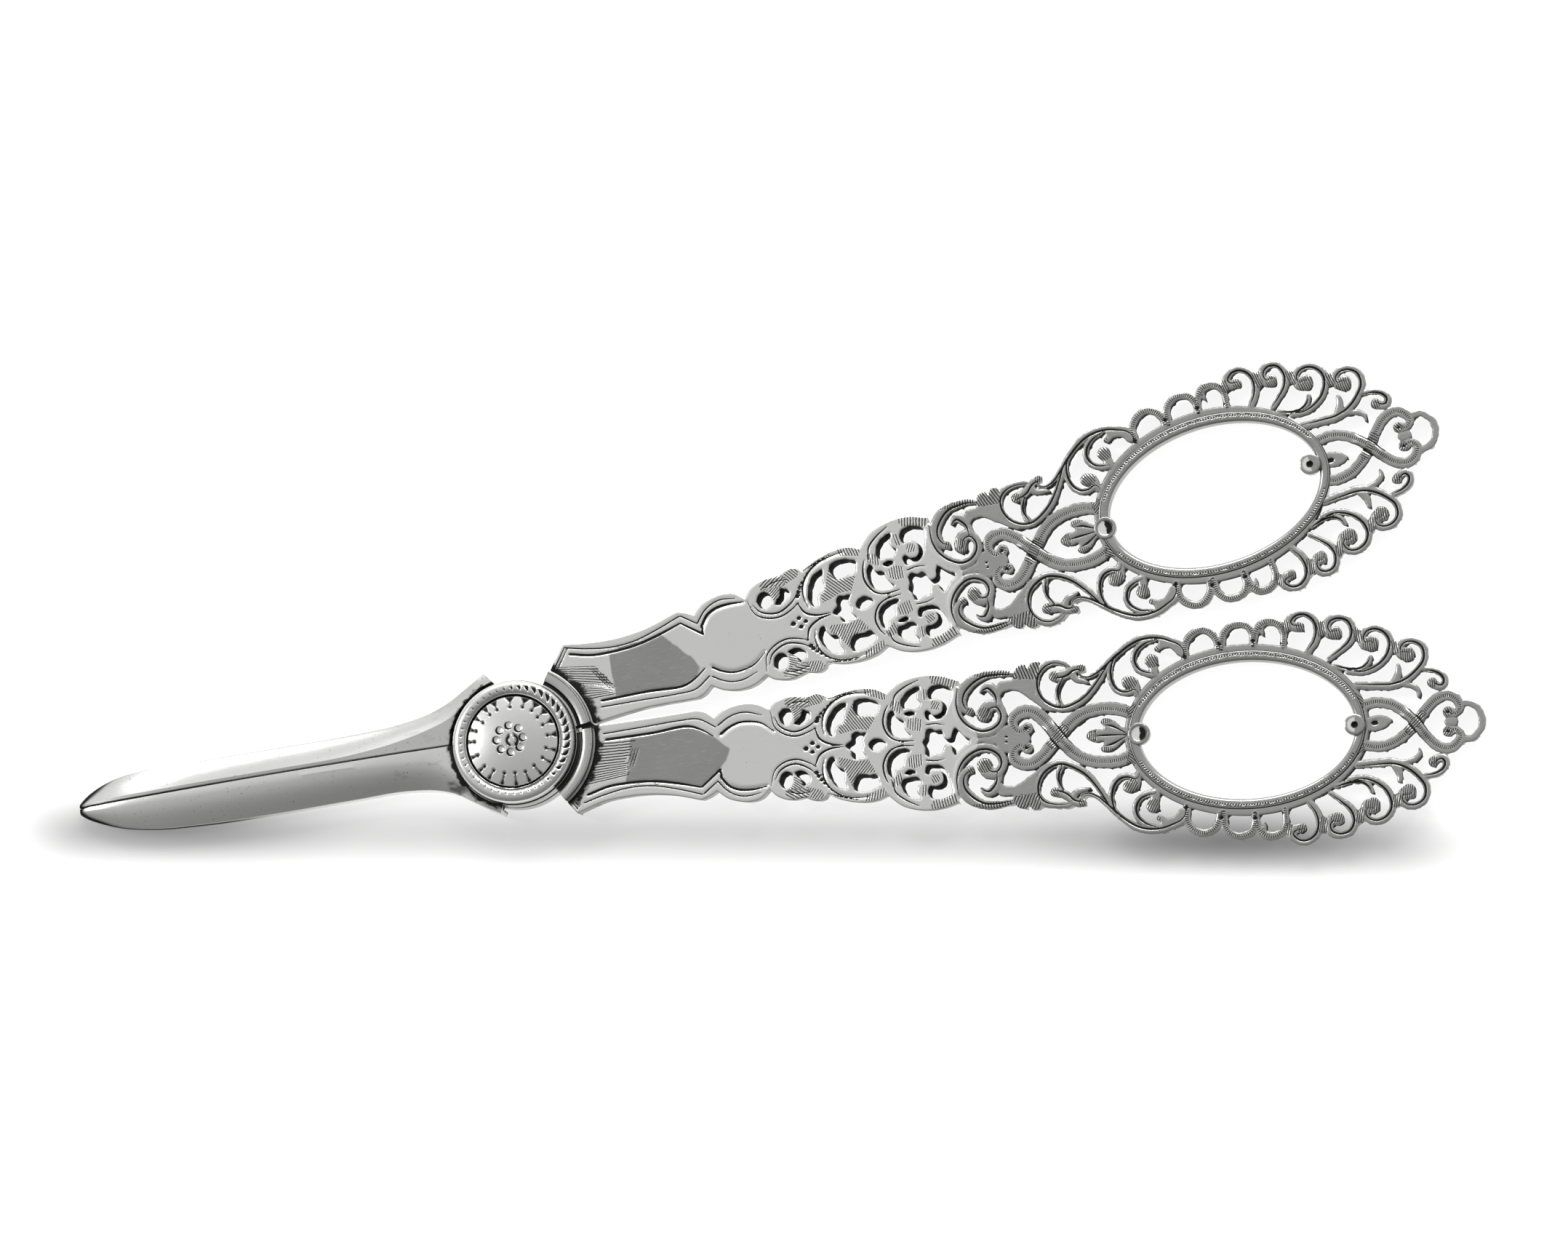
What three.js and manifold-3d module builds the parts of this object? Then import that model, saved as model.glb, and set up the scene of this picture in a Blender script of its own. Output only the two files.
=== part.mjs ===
// Grape shears: two pierced silver handles, two jaws that lap at a riveted pivot, and the pivot's cap
// Millimetres, +Z up. The shears lie on their back, closed, with the pivot's axis along Z at the origin.
// The jaws point along -X and the handles along +X.
import * as THREE from 'three';
import { mergeVertices } from 'three/addons/utils/BufferGeometryUtils.js';
import Module from 'manifold-3d';

const wasm = await Module();
wasm.setup();

// Clearances
const runningGap = 0.3;
const skimGap = 0.1;
const cutOverrun = 2;

// Pivot
const lapRadius = 7.8;
const lapThickness = 1.8;
const lapGroove = 0.4;
const pinRadius = 2.2;
const washerThickness = 0.3;
const washerRadius = 5.6;
const backWasherThickness = 0.5;
const backWasherRadius = 4.4;

// Cap of the pivot: a rosette disc in a milled rim
const discRadius = 5.65;
const discEdgeHeight = 0.9;
const discCrown = 0.6;
const rimRadius = 7.65;
const rimHeight = 1.2;
const rimBevel = 0.45;
const rimInnerBevel = 0.15;

// Jaws
const jawHeight = 4;
const bladeLength = 56;
const jawHalfWidth = 10;
const seamGap = 0.3;
const ledgeWidth = 1.1;

// Bolsters: the raised bands where each jaw is soldered to its handle
const bolsterWidth = 1.4;
const solderGap = 0.3;
const lowerBolsterAngles = [-55.7, 3.7];
const upperBolsterAngles = [6.7, 58];

// Handles
const handleLength = 120;
const handleHalfWidth = 15;
const bandWidth = 1;
const rootThickness = 3.2;
const tailThickness = 1.8;
const lowerSplayShare = 0.8408;
const upperSplayShare = 1.2657;
const lowerPivotOffset = 1.92;
const upperPivotOffset = 3.9;
const upperHandleShift = 0.45;
const lowerCornerRadius = 11.8;
const upperCornerRadius = 13.6;
const lowerPanelInset = 3.8;
const upperPanelInset = 4.4;

// Bows
const bowOpeningLength = 26.6;
const bowOpeningWidth = 16.9;
const linerWidth = 0.95;
const linerHeight = 2.5;
const flangeEndWidth = 0.6;
const flangeSideWidth = 0.95;
const beadRadius = 1.35;
const beadRise = 0.9;
const beadRim = 0.2;
const nearBeadInset = 0.1;
const farBeadInset = 0.5;

// Outline tracing
const traceCell = 0.34;
const traceTolerance = 0.065;
const weldDistance = 0.0001;
const curveStep = 0.5;
const roundSegments = 72;
const smallRoundSegments = 36;

// Levels worked out from the sizes above
const frontLapBase = lapThickness + washerThickness + skimGap;
const capBase = jawHeight + skimGap;
const clearRadius = lapRadius + lapGroove;
const bolsterRadius = clearRadius + bolsterWidth;
const boreRadius = pinRadius + runningGap;
const overrunHeight = jawHeight + cutOverrun;

// The pierced pattern is drawn on squares, 120 from the pivot to the tail and 15 each side of its axis.
// Places in the tables below are counted in those squares, and widths in widths of a scroll's band.
const gridColumns = 120;
const gridRows = 15;
const row = handleHalfWidth / gridRows;
const bowCentreShare = 90.9 / gridColumns;
const bowReachShare = 13.3 / gridColumns;
const bowCentre = handleLength * bowCentreShare;

// The two handles spread by their width, so that they never meet between the pivot and the bows
const lowerHandleTurn = -Math.atan((lowerSplayShare * handleHalfWidth) / handleLength);
const upperHandleTurn = Math.atan((upperSplayShare * handleHalfWidth) / handleLength);

const panelInnerShares = [[16, 4.45], [22.7, 5.25]];
const panelOuterShares = [[23.1, -6.05], [19.8, -5.35], [16.5, -5.1], [13.5, -5.3], [11, -5.75]];

// Edge of the cartouche and of the first three scroll pairs, one run for each lobe between two cusps
const innerLobeShares = [
  [[22.7, 5.25], [23.8, 4.95], [24.8, 4.25]],
  [[24.8, 4.25], [26.3, 5.3], [28.4, 5.85], [30.2, 5.7], [31.65, 5.05]],
];
const outerLobeShares = [
  [[31.65, -5.05], [30.6, -6.1], [28.8, -6.5], [26.5, -6], [25.1, -5]],
  [[25.1, -5], [24.2, -5.6], [23.1, -6.05]],
];
const gripLobeShares = [
  [[31.65, 5.05], [32.5, 5.9], [34.2, 6.5], [36.1, 6.25]],
  [[36.1, 6.25], [36.9, 6.6], [37.7, 6.75], [38.6, 6.4], [38.9, 5.95]],
  [[38.9, 5.95], [40.6, 6.7], [43, 7.15], [45, 6.95], [46.3, 6.35]],
  [[46.3, 6.35], [48.2, 7.8], [50.8, 8.45], [53.2, 8.25], [55.2, 7.6]],
  [[55.2, 7.6], [54.9, 6], [54.8, 4.4], [55.3, 2.8], [56.3, 1.55], [57.4, 0.9], [57.6, 0]],
];

// Sawn holes of the first three scroll pairs, each closed on itself
const pairedHoleShares = [
  [[34.6, 4.75], [33.9, 4.95], [33.1, 4.5], [32.85, 3.8], [33.2, 3.15], [34, 2.9], [34.7, 3.05], [34.5, 3.6],
    [34.3, 4.1]],
  [[35.3, 4.7], [35, 4.1], [35, 3.4], [35.5, 2.95], [36.3, 3.2], [36.6, 3.9], [36.2, 4.6]],
  [[41.25, 5.35], [40.2, 5.1], [39.3, 4.2], [38.8, 3], [38.75, 2.1], [39.2, 1.35], [39.65, 1.3], [39.8, 2],
    [40.1, 2.6], [40.8, 2.85], [41, 3.4], [40.9, 4.2]],
  [[42.2, 5.5], [43.2, 5.8], [44.3, 5.6], [45.3, 5.05], [45.15, 4.2], [44.9, 3.7], [44.1, 3.75], [43.2, 3.6],
    [42.5, 3.8], [42.1, 4.6]],
  [[46.9, 4.15], [46.45, 3.8], [46.25, 3], [46.35, 1.9], [46.9, 1.15], [47.8, 0.7], [48.7, 0.65], [49.2, 0.95],
    [48.7, 1.4], [48.4, 2.1], [48.4, 2.7], [47.9, 3.05], [47.3, 3.25], [47.2, 3.8]],
  [[48.4, 3.7], [49, 3.95], [49.8, 3.75], [49.6, 3.38], [48.9, 3.36]],
  [[50.35, 7], [49.2, 6.7], [48.3, 5.9], [47.95, 5], [48.25, 4.4], [49, 4.3], [49.8, 4.2], [50.3, 4.5],
    [50.5, 4.95], [50.05, 5.4], [50, 6.2], [50.35, 6.6]],
  [[51.35, 5.7], [51.4, 6.4], [51.9, 6.95], [52.8, 7.1], [53.8, 6.8], [54.3, 6.3], [54.15, 5.2], [53.85, 4.2],
    [53.4, 3.3], [52.8, 2.9], [52.1, 2.8], [51.4, 2.75], [51.05, 3.2], [51, 3.8], [51.3, 4], [51.6, 3.8],
    [51.9, 3.45], [52.6, 3.4], [53.15, 3.9], [53.25, 4.6], [53, 5.2], [52.2, 5.45], [51.6, 5.4]],
];

// Holes on the axis: one side's edge, from left to right
const axisHoleShares = [
  [[41.05, 0], [41.8, 0.6], [41.9, 1.4], [42.4, 1.7], [43, 1.5], [43.7, 1.5], [43.4, 1.1], [43.2, 0.6],
    [43.35, 0]],
  [[43.9, 0], [44.3, 0.55], [45, 0.8], [45.6, 0.6], [46.15, 0]],
  [[50.7, 0], [51, 0.6], [51.1, 1.5], [51.6, 1.75], [52.2, 1.45], [53, 1.5], [53.25, 0.9], [53.4, 0.45],
    [53.8, 0.3], [54.2, 0.45], [54.4, 1.1], [54.7, 1.7], [55.2, 1.25], [55.8, 0.65], [56.5, 0.25], [56.7, 0]],
];

// Solid leaves and shells of one side, each a closed edge
const patchShares = [
  [[61.9, 8.4], [62.1, 8.35], [62.4, 8.85], [62.9, 9.2], [63.5, 9.2], [63.85, 8.8], [64.2, 9.35], [64.8, 9.65],
    [65.3, 9.35], [65.4, 8.6], [64.9, 7.4], [64.7, 6], [65.1, 4.9], [66.2, 3.9], [67.2, 3.3], [66.2, 3.35],
    [65.1, 4.05], [63.9, 4.95], [62.7, 5.8], [61.7, 6.05], [60.7, 5.8], [60.3, 5.3], [59.9, 6.2], [60.2, 7.1],
    [61.9, 7.4]],
  [[80.1, 11.7], [80.1, 10.95], [79.7, 10.75], [79.6, 10.3], [80, 10.1], [80.6, 10.45], [81.3, 10.55],
    [82, 10.15], [82.5, 9.5], [83.3, 9.4], [83.4, 11.1], [81.8, 11.7]],
];

// Palmette in the first eye: one side's edge, from left to right
const palmetteShares = [
  [71, 0], [71.4, 0.55], [72.2, 0.85], [73.1, 0.75], [73.15, 1.25], [72.8, 1.55], [72.95, 2.05],
  [73.8, 2.1], [74.7, 1.65], [75.4, 1], [76.1, 0.6], [76.5, 0.5], [76.5, 0],
];

// Scroll bands of one side: across, up and width at each point of the middle line
const bandShares = [
  [[62, 8.05, 0.6], [60, 8.2, 0.95], [58.2, 8, 1.15], [56.7, 7.2, 1.5], [55.7, 6, 1.5], [55.5, 4.8, 1.4],
    [56, 3.9, 1], [56.6, 3.6, 1.05]],
  [[54.9, 6.4, 0.9], [54.75, 4.6, 0.9], [55.2, 2.9, 1.2], [56.2, 1.7, 1.3], [57.8, 0.95, 1.2], [59.3, 1.1, 1.2],
    [60.4, 2, 1.1], [60.65, 3.2, 1.1], [60, 4.2, 1.3], [58.9, 4.1, 1.6], [58.35, 3.15, 1.9]],
  [[60.1, 4.4, 1.2], [60, 5.3, 0.9], [59.6, 6.1, 1.3], [58.9, 6.6, 1.1], [58.2, 6.3, 0.6], [57.95, 5.95, 0.3]],
  [[69, 8.75, 0.6], [68.2, 9.15, 0.8], [67, 9.35, 0.9], [65.8, 8.85, 0.9], [65, 7.7, 0.8], [64.9, 6.2, 0.8],
    [65.5, 4.8, 0.85], [66.7, 3.85, 0.9], [68.1, 3.5, 0.9], [69.7, 3.95, 0.95], [71.1, 4.9, 0.9],
    [72.3, 6.3, 0.85], [73.3, 7.8, 0.75], [74.2, 9.2, 0.7], [75.2, 10.2, 0.6]],
  [[70.5, 8.5, 1.1], [69.4, 8.35, 1.1], [68.6, 7.8, 1.3], [67.8, 7.6, 1.3], [67.1, 7.55, 1.3]],
  [[68.1, 7.3, 0.6], [67.5, 6, 0.45], [67.5, 5, 0.6], [67.8, 4, 0.9]],
  [[69.2, 8, 0.9], [69.8, 7.1, 0.8], [70.8, 6.8, 0.6], [71.4, 6.6, 0.3]],
  [[70.4, 8.2, 0.5], [70.4, 7.65, 0.5], [71.2, 7.35, 0.55], [72.3, 7.8, 0.55], [73.3, 8.6, 0.6],
    [74.3, 9.5, 0.7], [75.3, 10.35, 0.8], [76.4, 11.15, 0.9], [77.6, 11.75, 0.95], [79, 12, 0.95],
    [80.4, 11.9, 0.9], [81.6, 11.5, 0.9], [82.7, 11, 0.95], [83.35, 10.2, 0.95], [83.45, 9.2, 1]],
  [[75, 10.2, 0.7], [74.3, 9.2, 0.7], [74, 7.8, 0.75], [74.3, 6.3, 0.75], [75.1, 5.35, 0.8], [76.2, 5.15, 0.8],
    [77.1, 5.4, 0.9], [77.4, 5, 1]],
  [[77.2, 5.5, 1.2], [77, 6.4, 1.2], [76.3, 6.5, 1.65]],
  [[79.6, 11.7, 0.7], [78.2, 11.2, 0.75], [77.2, 10.2, 0.75], [77, 9, 0.75], [77.6, 7.9, 0.8],
    [78.6, 7.45, 0.85], [79.4, 7.3, 1]],
  [[79.5, 7.4, 1.2], [79.4, 8.4, 1.2], [79.2, 9, 1.7]],
  [[83.4, 9.2, 1], [83.4, 10.9, 1], [84.2, 12.1, 1], [85.5, 12.6, 1], [86.8, 12, 1], [87.4, 10.9, 1],
    [87.5, 10.1, 1]],
  [[87.9, 10.1, 1], [88.1, 11.9, 1], [89, 12.9, 0.95], [90, 13.1, 0.95], [91.2, 12.75, 0.95], [91.8, 11.7, 1],
    [91.8, 10.4, 1]],
  [[91.9, 10.4, 0.8], [92.2, 12.2, 1], [93, 13.1, 1.1], [93.9, 13.3, 1.1], [95, 12.9, 1], [95.6, 11.8, 0.9],
    [95.5, 10, 0.9]],
  [[92.8, 12.6, 0.9], [93, 11.6, 0.25]],
  [[98.6, 9.3, 0.9], [99.5, 10.6, 1], [99.8, 12, 0.95], [99.4, 13.3, 0.9], [98.3, 14.1, 0.9], [97.1, 14, 0.9],
    [96.3, 13.2, 1.2], [96.6, 12.6, 1.2], [97.6, 12.4, 1.2]],
  [[101.2, 8.3, 0.7], [102.6, 9.3, 0.8], [103.8, 10.4, 0.95], [104.2, 11.8, 0.95], [103.6, 13.1, 0.95],
    [102.3, 13.5, 0.95], [101.2, 13.1, 1.1], [100.9, 12.2, 1.1], [101.3, 11.5, 1.3], [102, 11.5, 1.7]],
  [[103.6, 6.7, 0.9], [105.2, 6.5, 0.8], [106.6, 6.9, 0.8], [107.9, 7.8, 0.85], [108.7, 9.1, 0.9],
    [108.8, 10.4, 0.9], [108.1, 11.5, 0.9], [106.9, 12, 0.9], [105.8, 11.7, 0.9], [105.3, 10.9, 1],
    [105.5, 10.1, 1.3], [106.3, 10, 2.1]],
  [[101.8, 7.4, 0.7], [103.6, 6.95, 0.5], [105.1, 7, 0.5], [106, 7.6, 0.7], [106.3, 8.3, 0.6]],
  [[104.6, 4.9, 1], [107, 4.75, 1.1], [109, 4.75, 1.1], [110.6, 5.3, 1], [112, 6.4, 0.95], [113, 7.8, 0.9],
    [112.9, 9.3, 0.9], [111.9, 10.15, 0.9], [110.7, 10.2, 0.9], [109.9, 9.6, 1], [109.9, 8.8, 1.1],
    [110.8, 8.5, 2]],
  [[110.4, 4.8, 0.7], [111.6, 4.5, 0.7], [112.2, 3.9, 0.6], [112.2, 3.2, 0.3]],
  [[109.2, 5, 1.2], [109.7, 6.2, 0.9], [109.7, 7.1, 0.6]],
  [[112.9, 6.6, 0.7], [114.1, 6.45, 0.75], [115.1, 5.9, 0.8], [115.5, 5.1, 0.85], [115.1, 4.4, 1],
    [114.4, 4.5, 1], [113.9, 4.9, 1.3]],
  [[95.9, 12.9, 0.7], [96, 12.2, 0.7]],
  [[100.2, 12.7, 0.9], [100.3, 11.5, 0.7]],
  [[104.7, 11.6, 0.9], [104.9, 10.5, 0.6]],
  [[109.3, 9.9, 0.8], [109.4, 8.9, 0.6]],
];

// Straps that cross on the axis, from their curl to the bow: across, up and width
const strapShares = [
  [[63.7, 1.25, 1.5], [62.8, 0.95, 1], [62.05, 1.5, 1.1], [62, 2.5, 1.4], [62.9, 3.25, 1.6], [64.3, 3.3, 1.65],
    [65.6, 2.4, 1.65], [66.6, 1.2, 1.65], [67.5, 0, 1.65], [68.6, -1.3, 1.65], [70, -2.5, 1.6],
    [71.6, -3.15, 1.6], [73.4, -3.35, 1.6], [75.2, -3.15, 1.6], [76.8, -2.5, 1.5]],
  [[104.9, 2.3, 1.3], [107, 2.75, 1.35], [108.9, 2.35, 1.35], [110.5, 1.3, 1.35], [111.8, 0, 1.35],
    [113.1, -1.7, 1.35], [114.4, -2.9, 1.35], [115.8, -3.3, 1.35], [116.9, -2.7, 1.3], [117.3, -1.7, 1.1],
    [116.7, -1, 0.9], [115.8, -1.2, 1.4]],
];

// Bands that lie on the axis: across, up and width
const axisBandShares = [
  [[56.8, 0, 0.6], [58.6, 0, 0.8], [60.4, 0, 1.8], [61.6, 0, 3.6], [62.6, 0, 2.8], [63.4, 0, 1.4]],
  [[105, 0, 1], [105.9, 0.05, 1.5], [106.8, 0.15, 2], [107.8, 0.3, 1.5], [108.8, 0.5, 0.3]],
  [[115.9, 0, 1.1], [116.5, 0, 1.1]],
  [[117.3, 2.2, 0.9], [118.7, 2.15, 0.85], [119.7, 1.2, 0.85], [120, 0, 0.9], [119.7, -1.2, 0.85],
    [118.7, -2.15, 0.85], [117.3, -2.2, 0.9]],
];

// How each sawn handle departs from the drawn pattern: across, the shift along in squares, and the scales
// of the side that faces the other handle and of the outer side
const lowerDriftShares = [[58, 0, 1, 1], [64, 0, 1, 0.94], [67, 0, 1, 0.9], [70, 0, 1, 0.97], [77, 0, 1, 1]];
const upperDriftShares = [
  [30, 0, 1, 1], [38, 0.5, 0.98, 1.04], [46, 0.75, 0.94, 1.07], [52, 0.8, 0.94, 1.07], [56, 1, 0.94, 1.05],
  [60, 0.6, 0.95, 1.02], [64, 0.25, 0.96, 0.96], [67, 0.2, 0.99, 0.92], [71, 0.1, 1, 0.99], [76, 0, 1, 1],
];

// Points along a smooth open or closed curve through places with an optional width
function smoothRun(places, closed = false) {
  const knots = places.map(([x, y, width = 0]) => new THREE.Vector3(x, y, width));
  const curve = new THREE.CatmullRomCurve3(knots, closed, 'centripetal');
  const steps = Math.max(knots.length, Math.ceil(curve.getLength() / curveStep));
  const points = curve.getPoints(steps);
  return closed ? points.slice(0, -1) : points;
}

// The squares stretch evenly from the pivot to the finger opening, along the opening, and from it to the tail
function columnAt(across) {
  const share = across / gridColumns;
  const startShare = bowCentreShare - bowReachShare;
  const endShare = bowCentreShare + bowReachShare;
  const start = bowCentre - bowOpeningLength / 2;
  const end = bowCentre + bowOpeningLength / 2;
  if (share < startShare) return (start * share) / startShare;
  if (share > endShare) return end + ((handleLength - end) * (share - endShare)) / (1 - endShare);
  return bowCentre + ((bowOpeningLength / 2) * (share - bowCentreShare)) / bowReachShare;
}

const onGrid = ([across, up, width = 0]) => [columnAt(across), up * row, width * bandWidth];
const mirrored = (places) => places.map(([x, y, width = 0]) => [x, -y, width]);

// A closed edge, or a band's middle line, with its bounding box
function edgeLoop(points) {
  const box = new THREE.Box2().setFromPoints(points.map((point) => new THREE.Vector2(point.x, point.y)));
  return { points, box };
}

// A closed edge that is the same on both sides of the axis, from one side's places
function symmetricLoop(places) {
  const inner = places.slice(1, -1);
  const back = mirrored(inner).reverse();
  return edgeLoop(smoothRun([places[0], ...inner, places.at(-1), ...back].map(onGrid), true));
}

const bandPath = (places) => edgeLoop(smoothRun(places.map(onGrid)));

// Signed distance to a closed edge, negative inside
function loopDistance(loop, x, y) {
  const { points } = loop;
  let nearest = Infinity;
  let inside = false;
  for (let i = 0, j = points.length - 1; i < points.length; j = i++) {
    const a = points[i];
    const b = points[j];
    const dx = b.x - a.x;
    const dy = b.y - a.y;
    const along = THREE.MathUtils.clamp(((x - a.x) * dx + (y - a.y) * dy) / (dx * dx + dy * dy), 0, 1);
    nearest = Math.min(nearest, Math.hypot(x - a.x - along * dx, y - a.y - along * dy));
    if (a.y > y !== b.y > y && x < a.x + (dx * (y - a.y)) / dy) inside = !inside;
  }
  return inside ? -nearest : nearest;
}

// Signed distance to a band, from its middle line and its width at each point
function bandDistance(band, x, y) {
  const { points } = band;
  let nearest = Infinity;
  for (let i = 1; i < points.length; i++) {
    const a = points[i - 1];
    const b = points[i];
    const dx = b.x - a.x;
    const dy = b.y - a.y;
    const along = THREE.MathUtils.clamp(((x - a.x) * dx + (y - a.y) * dy) / (dx * dx + dy * dy), 0, 1);
    const width = a.z + along * (b.z - a.z);
    nearest = Math.min(nearest, Math.hypot(x - a.x - along * dx, y - a.y - along * dy) - width / 2);
  }
  return nearest;
}

// An ellipse's value: zero on its edge, negative inside, and about a distance near the edge
function ellipseValue(x, y, halfLength, halfWidth) {
  return (Math.hypot(x / halfLength, y / halfWidth) - 1) * Math.min(halfLength, halfWidth);
}

const nearBox = (box, x, y) => {
  const reach = 3 * bandWidth;
  return x > box.min.x - reach && x < box.max.x + reach && y > box.min.y - reach && y < box.max.y + reach;
};

// Closed loops where a value changes sign, traced on a grid with the solid side on the left
function traceLoops(value, box) {
  const columns = Math.ceil((box.max.x - box.min.x) / traceCell);
  const rows = Math.ceil((box.max.y - box.min.y) / traceCell);
  const samples = [];
  for (let j = 0; j <= rows; j++) {
    for (let i = 0; i <= columns; i++) {
      samples.push(value(box.min.x + i * traceCell, box.min.y + j * traceCell) || Number.EPSILON);
    }
  }
  const at = (i, j) => samples[j * (columns + 1) + i];
  const crossing = (i0, j0, i1, j1) => {
    const share = at(i0, j0) / (at(i0, j0) - at(i1, j1));
    const x = box.min.x + (i0 + share * (i1 - i0)) * traceCell;
    const y = box.min.y + (j0 + share * (j1 - j0)) * traceCell;
    return new THREE.Vector2(x, y);
  };
  const next = new Map();
  const place = new Map();
  const edgeKey = (i, j, upright) => 2 * (j * (columns + 1) + i) + (upright ? 1 : 0);
  for (let j = 0; j < rows; j++) {
    for (let i = 0; i < columns; i++) {
      const corners = [[i, j], [i + 1, j], [i + 1, j + 1], [i, j + 1]];
      const keys = [
        edgeKey(i, j, false),
        edgeKey(i + 1, j, true),
        edgeKey(i, j + 1, false),
        edgeKey(i, j, true),
      ];
      const solid = corners.map(([ci, cj]) => at(ci, cj) < 0);
      const starts = [];
      const ends = [];
      for (let k = 0; k < corners.length; k++) {
        const following = (k + 1) % corners.length;
        if (solid[k] === solid[following]) continue;
        place.set(keys[k], crossing(...corners[k], ...corners[following]));
        (solid[k] ? starts : ends).push(k);
      }
      const joined = starts.length === 2 && at(i, j) + at(i + 1, j) + at(i + 1, j + 1) + at(i, j + 1) < 0;
      for (const start of starts) {
        const order = joined ? [1, 2, 3] : [3, 2, 1];
        const end = order.map((turn) => (start + turn) % corners.length).find((k) => ends.includes(k));
        next.set(keys[start], keys[end]);
      }
    }
  }
  const loops = [];
  while (next.size) {
    let key = next.keys().next().value;
    const loop = [];
    while (next.has(key)) {
      loop.push(place.get(key));
      const following = next.get(key);
      next.delete(key);
      key = following;
    }
    loops.push(loop);
  }
  return loops;
}

// Fewer points on a closed loop, none of the dropped ones further off than the tolerance
function thinLoop(loop, tolerance) {
  const keep = new Array(loop.length).fill(false);
  const distance = (point, a, b) => {
    const length = a.distanceTo(b);
    if (!length) return point.distanceTo(a);
    return Math.abs((b.x - a.x) * (a.y - point.y) - (a.x - point.x) * (b.y - a.y)) / length;
  };
  const split = (first, last) => {
    let worst = tolerance;
    let chosen = -1;
    for (let i = first + 1; i < last; i++) {
      const off = distance(loop[i], loop[first], loop[last % loop.length]);
      if (off > worst) {
        worst = off;
        chosen = i;
      }
    }
    if (chosen < 0) return;
    keep[chosen] = true;
    split(first, chosen);
    split(chosen, last);
  };
  const half = Math.floor(loop.length / 2);
  keep[0] = true;
  keep[half] = true;
  split(0, half);
  split(half, loop.length);
  return loop.filter((point, i) => keep[i]);
}

// Whether two straight stretches cross
function crosses(a, b, c, d) {
  if (Math.max(a.x, b.x) < Math.min(c.x, d.x) || Math.max(c.x, d.x) < Math.min(a.x, b.x)) return false;
  if (Math.max(a.y, b.y) < Math.min(c.y, d.y) || Math.max(c.y, d.y) < Math.min(a.y, b.y)) return false;
  const side = (p, q, r) => Math.sign((q.x - p.x) * (r.y - p.y) - (q.y - p.y) * (r.x - p.x));
  return side(a, b, c) !== side(a, b, d) && side(c, d, a) !== side(c, d, b);
}

// Numbers of the loops that cross themselves or each other
function crossedLoops(loops) {
  const stretches = loops.flatMap((loop, number) => loop.map((from, i) => {
    return { from, to: loop[(i + 1) % loop.length], number };
  }));
  stretches.sort((a, b) => Math.min(a.from.x, a.to.x) - Math.min(b.from.x, b.to.x));
  const crossed = new Set();
  for (let i = 0; i < stretches.length; i++) {
    const { from, to, number } = stretches[i];
    const reach = Math.max(from.x, to.x);
    for (let j = i + 1; j < stretches.length; j++) {
      const other = stretches[j];
      if (Math.min(other.from.x, other.to.x) > reach) break;
      const adjoining = other.from === to || other.to === from || other.from === from;
      if (adjoining || !crosses(from, to, other.from, other.to)) continue;
      crossed.add(number);
      crossed.add(other.number);
    }
  }
  return crossed;
}

// Thins all loops, and those that would then cross less than the others
function thinLoops(loops) {
  const thinned = loops.map((loop) => thinLoop(loop, traceTolerance));
  const rounds = 4;
  for (let round = 1; round <= rounds; round++) {
    for (const i of crossedLoops(thinned)) thinned[i] = thinLoop(loops[i], traceTolerance / 2 ** round);
  }
  return thinned;
}

// A plate whose outline is where the value is zero, with its back at z = 0 and its front at height(x).
// Openings smaller than a saw could make are left out.
function tracedPlate(value, box, height, drift) {
  const smallest = (bandWidth * bandWidth) / 6;
  const loops = traceLoops(value, box)
    .map((loop) => loop.map(drift))
    .filter((loop) => Math.abs(THREE.ShapeUtils.area(loop)) > smallest);
  const clear = thinLoops(loops);
  const outlines = clear.filter((loop) => THREE.ShapeUtils.area(loop) > 0);
  outlines.sort((a, b) => THREE.ShapeUtils.area(b) - THREE.ShapeUtils.area(a));
  const outline = edgeLoop(outlines[0]);
  const holes = clear.filter((loop) => {
    return THREE.ShapeUtils.area(loop) < 0 && loopDistance(outline, loop[0].x, loop[0].y) < 0;
  });
  const shape = new THREE.Shape(outline.points);
  shape.holes = holes.map((loop) => new THREE.Path(loop));
  const geometry = new THREE.ExtrudeGeometry(shape, { depth: 1, bevelEnabled: false, curveSegments: 1 });
  const position = geometry.attributes.position;
  for (let i = 0; i < position.count; i++) {
    if (position.getZ(i) > 0) position.setZ(i, height(position.getX(i)));
  }
  geometry.computeVertexNormals();
  return geometry;
}

// Body of the grip: panel, cartouche and first three scroll pairs
function gripLoop(frame) {
  const corner = frame.corner;
  const rootShare = 0.9 * (bolsterRadius / frame.cornerRadius);
  const root = [
    frame.pivotX + (corner[0] - frame.pivotX) * rootShare,
    frame.pivotY + (corner[1] - frame.pivotY) * rootShare,
  ];
  const innerStart = [bolsterRadius, frame.panelInset];
  const points = [];
  const addRun = (places) => points.push(...smoothRun(places).slice(0, -1));
  addRun([innerStart, ...panelInnerShares.map(onGrid)]);
  for (const lobe of [...innerLobeShares, ...gripLobeShares]) addRun(lobe.map(onGrid));
  for (const lobe of [...gripLobeShares].reverse()) addRun(mirrored([...lobe].reverse()).map(onGrid));
  for (const lobe of outerLobeShares) addRun(lobe.map(onGrid));
  addRun([...panelOuterShares.map(onGrid), corner]);
  points.push(new THREE.Vector3(...corner), new THREE.Vector3(...root));
  return edgeLoop(points);
}

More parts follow.
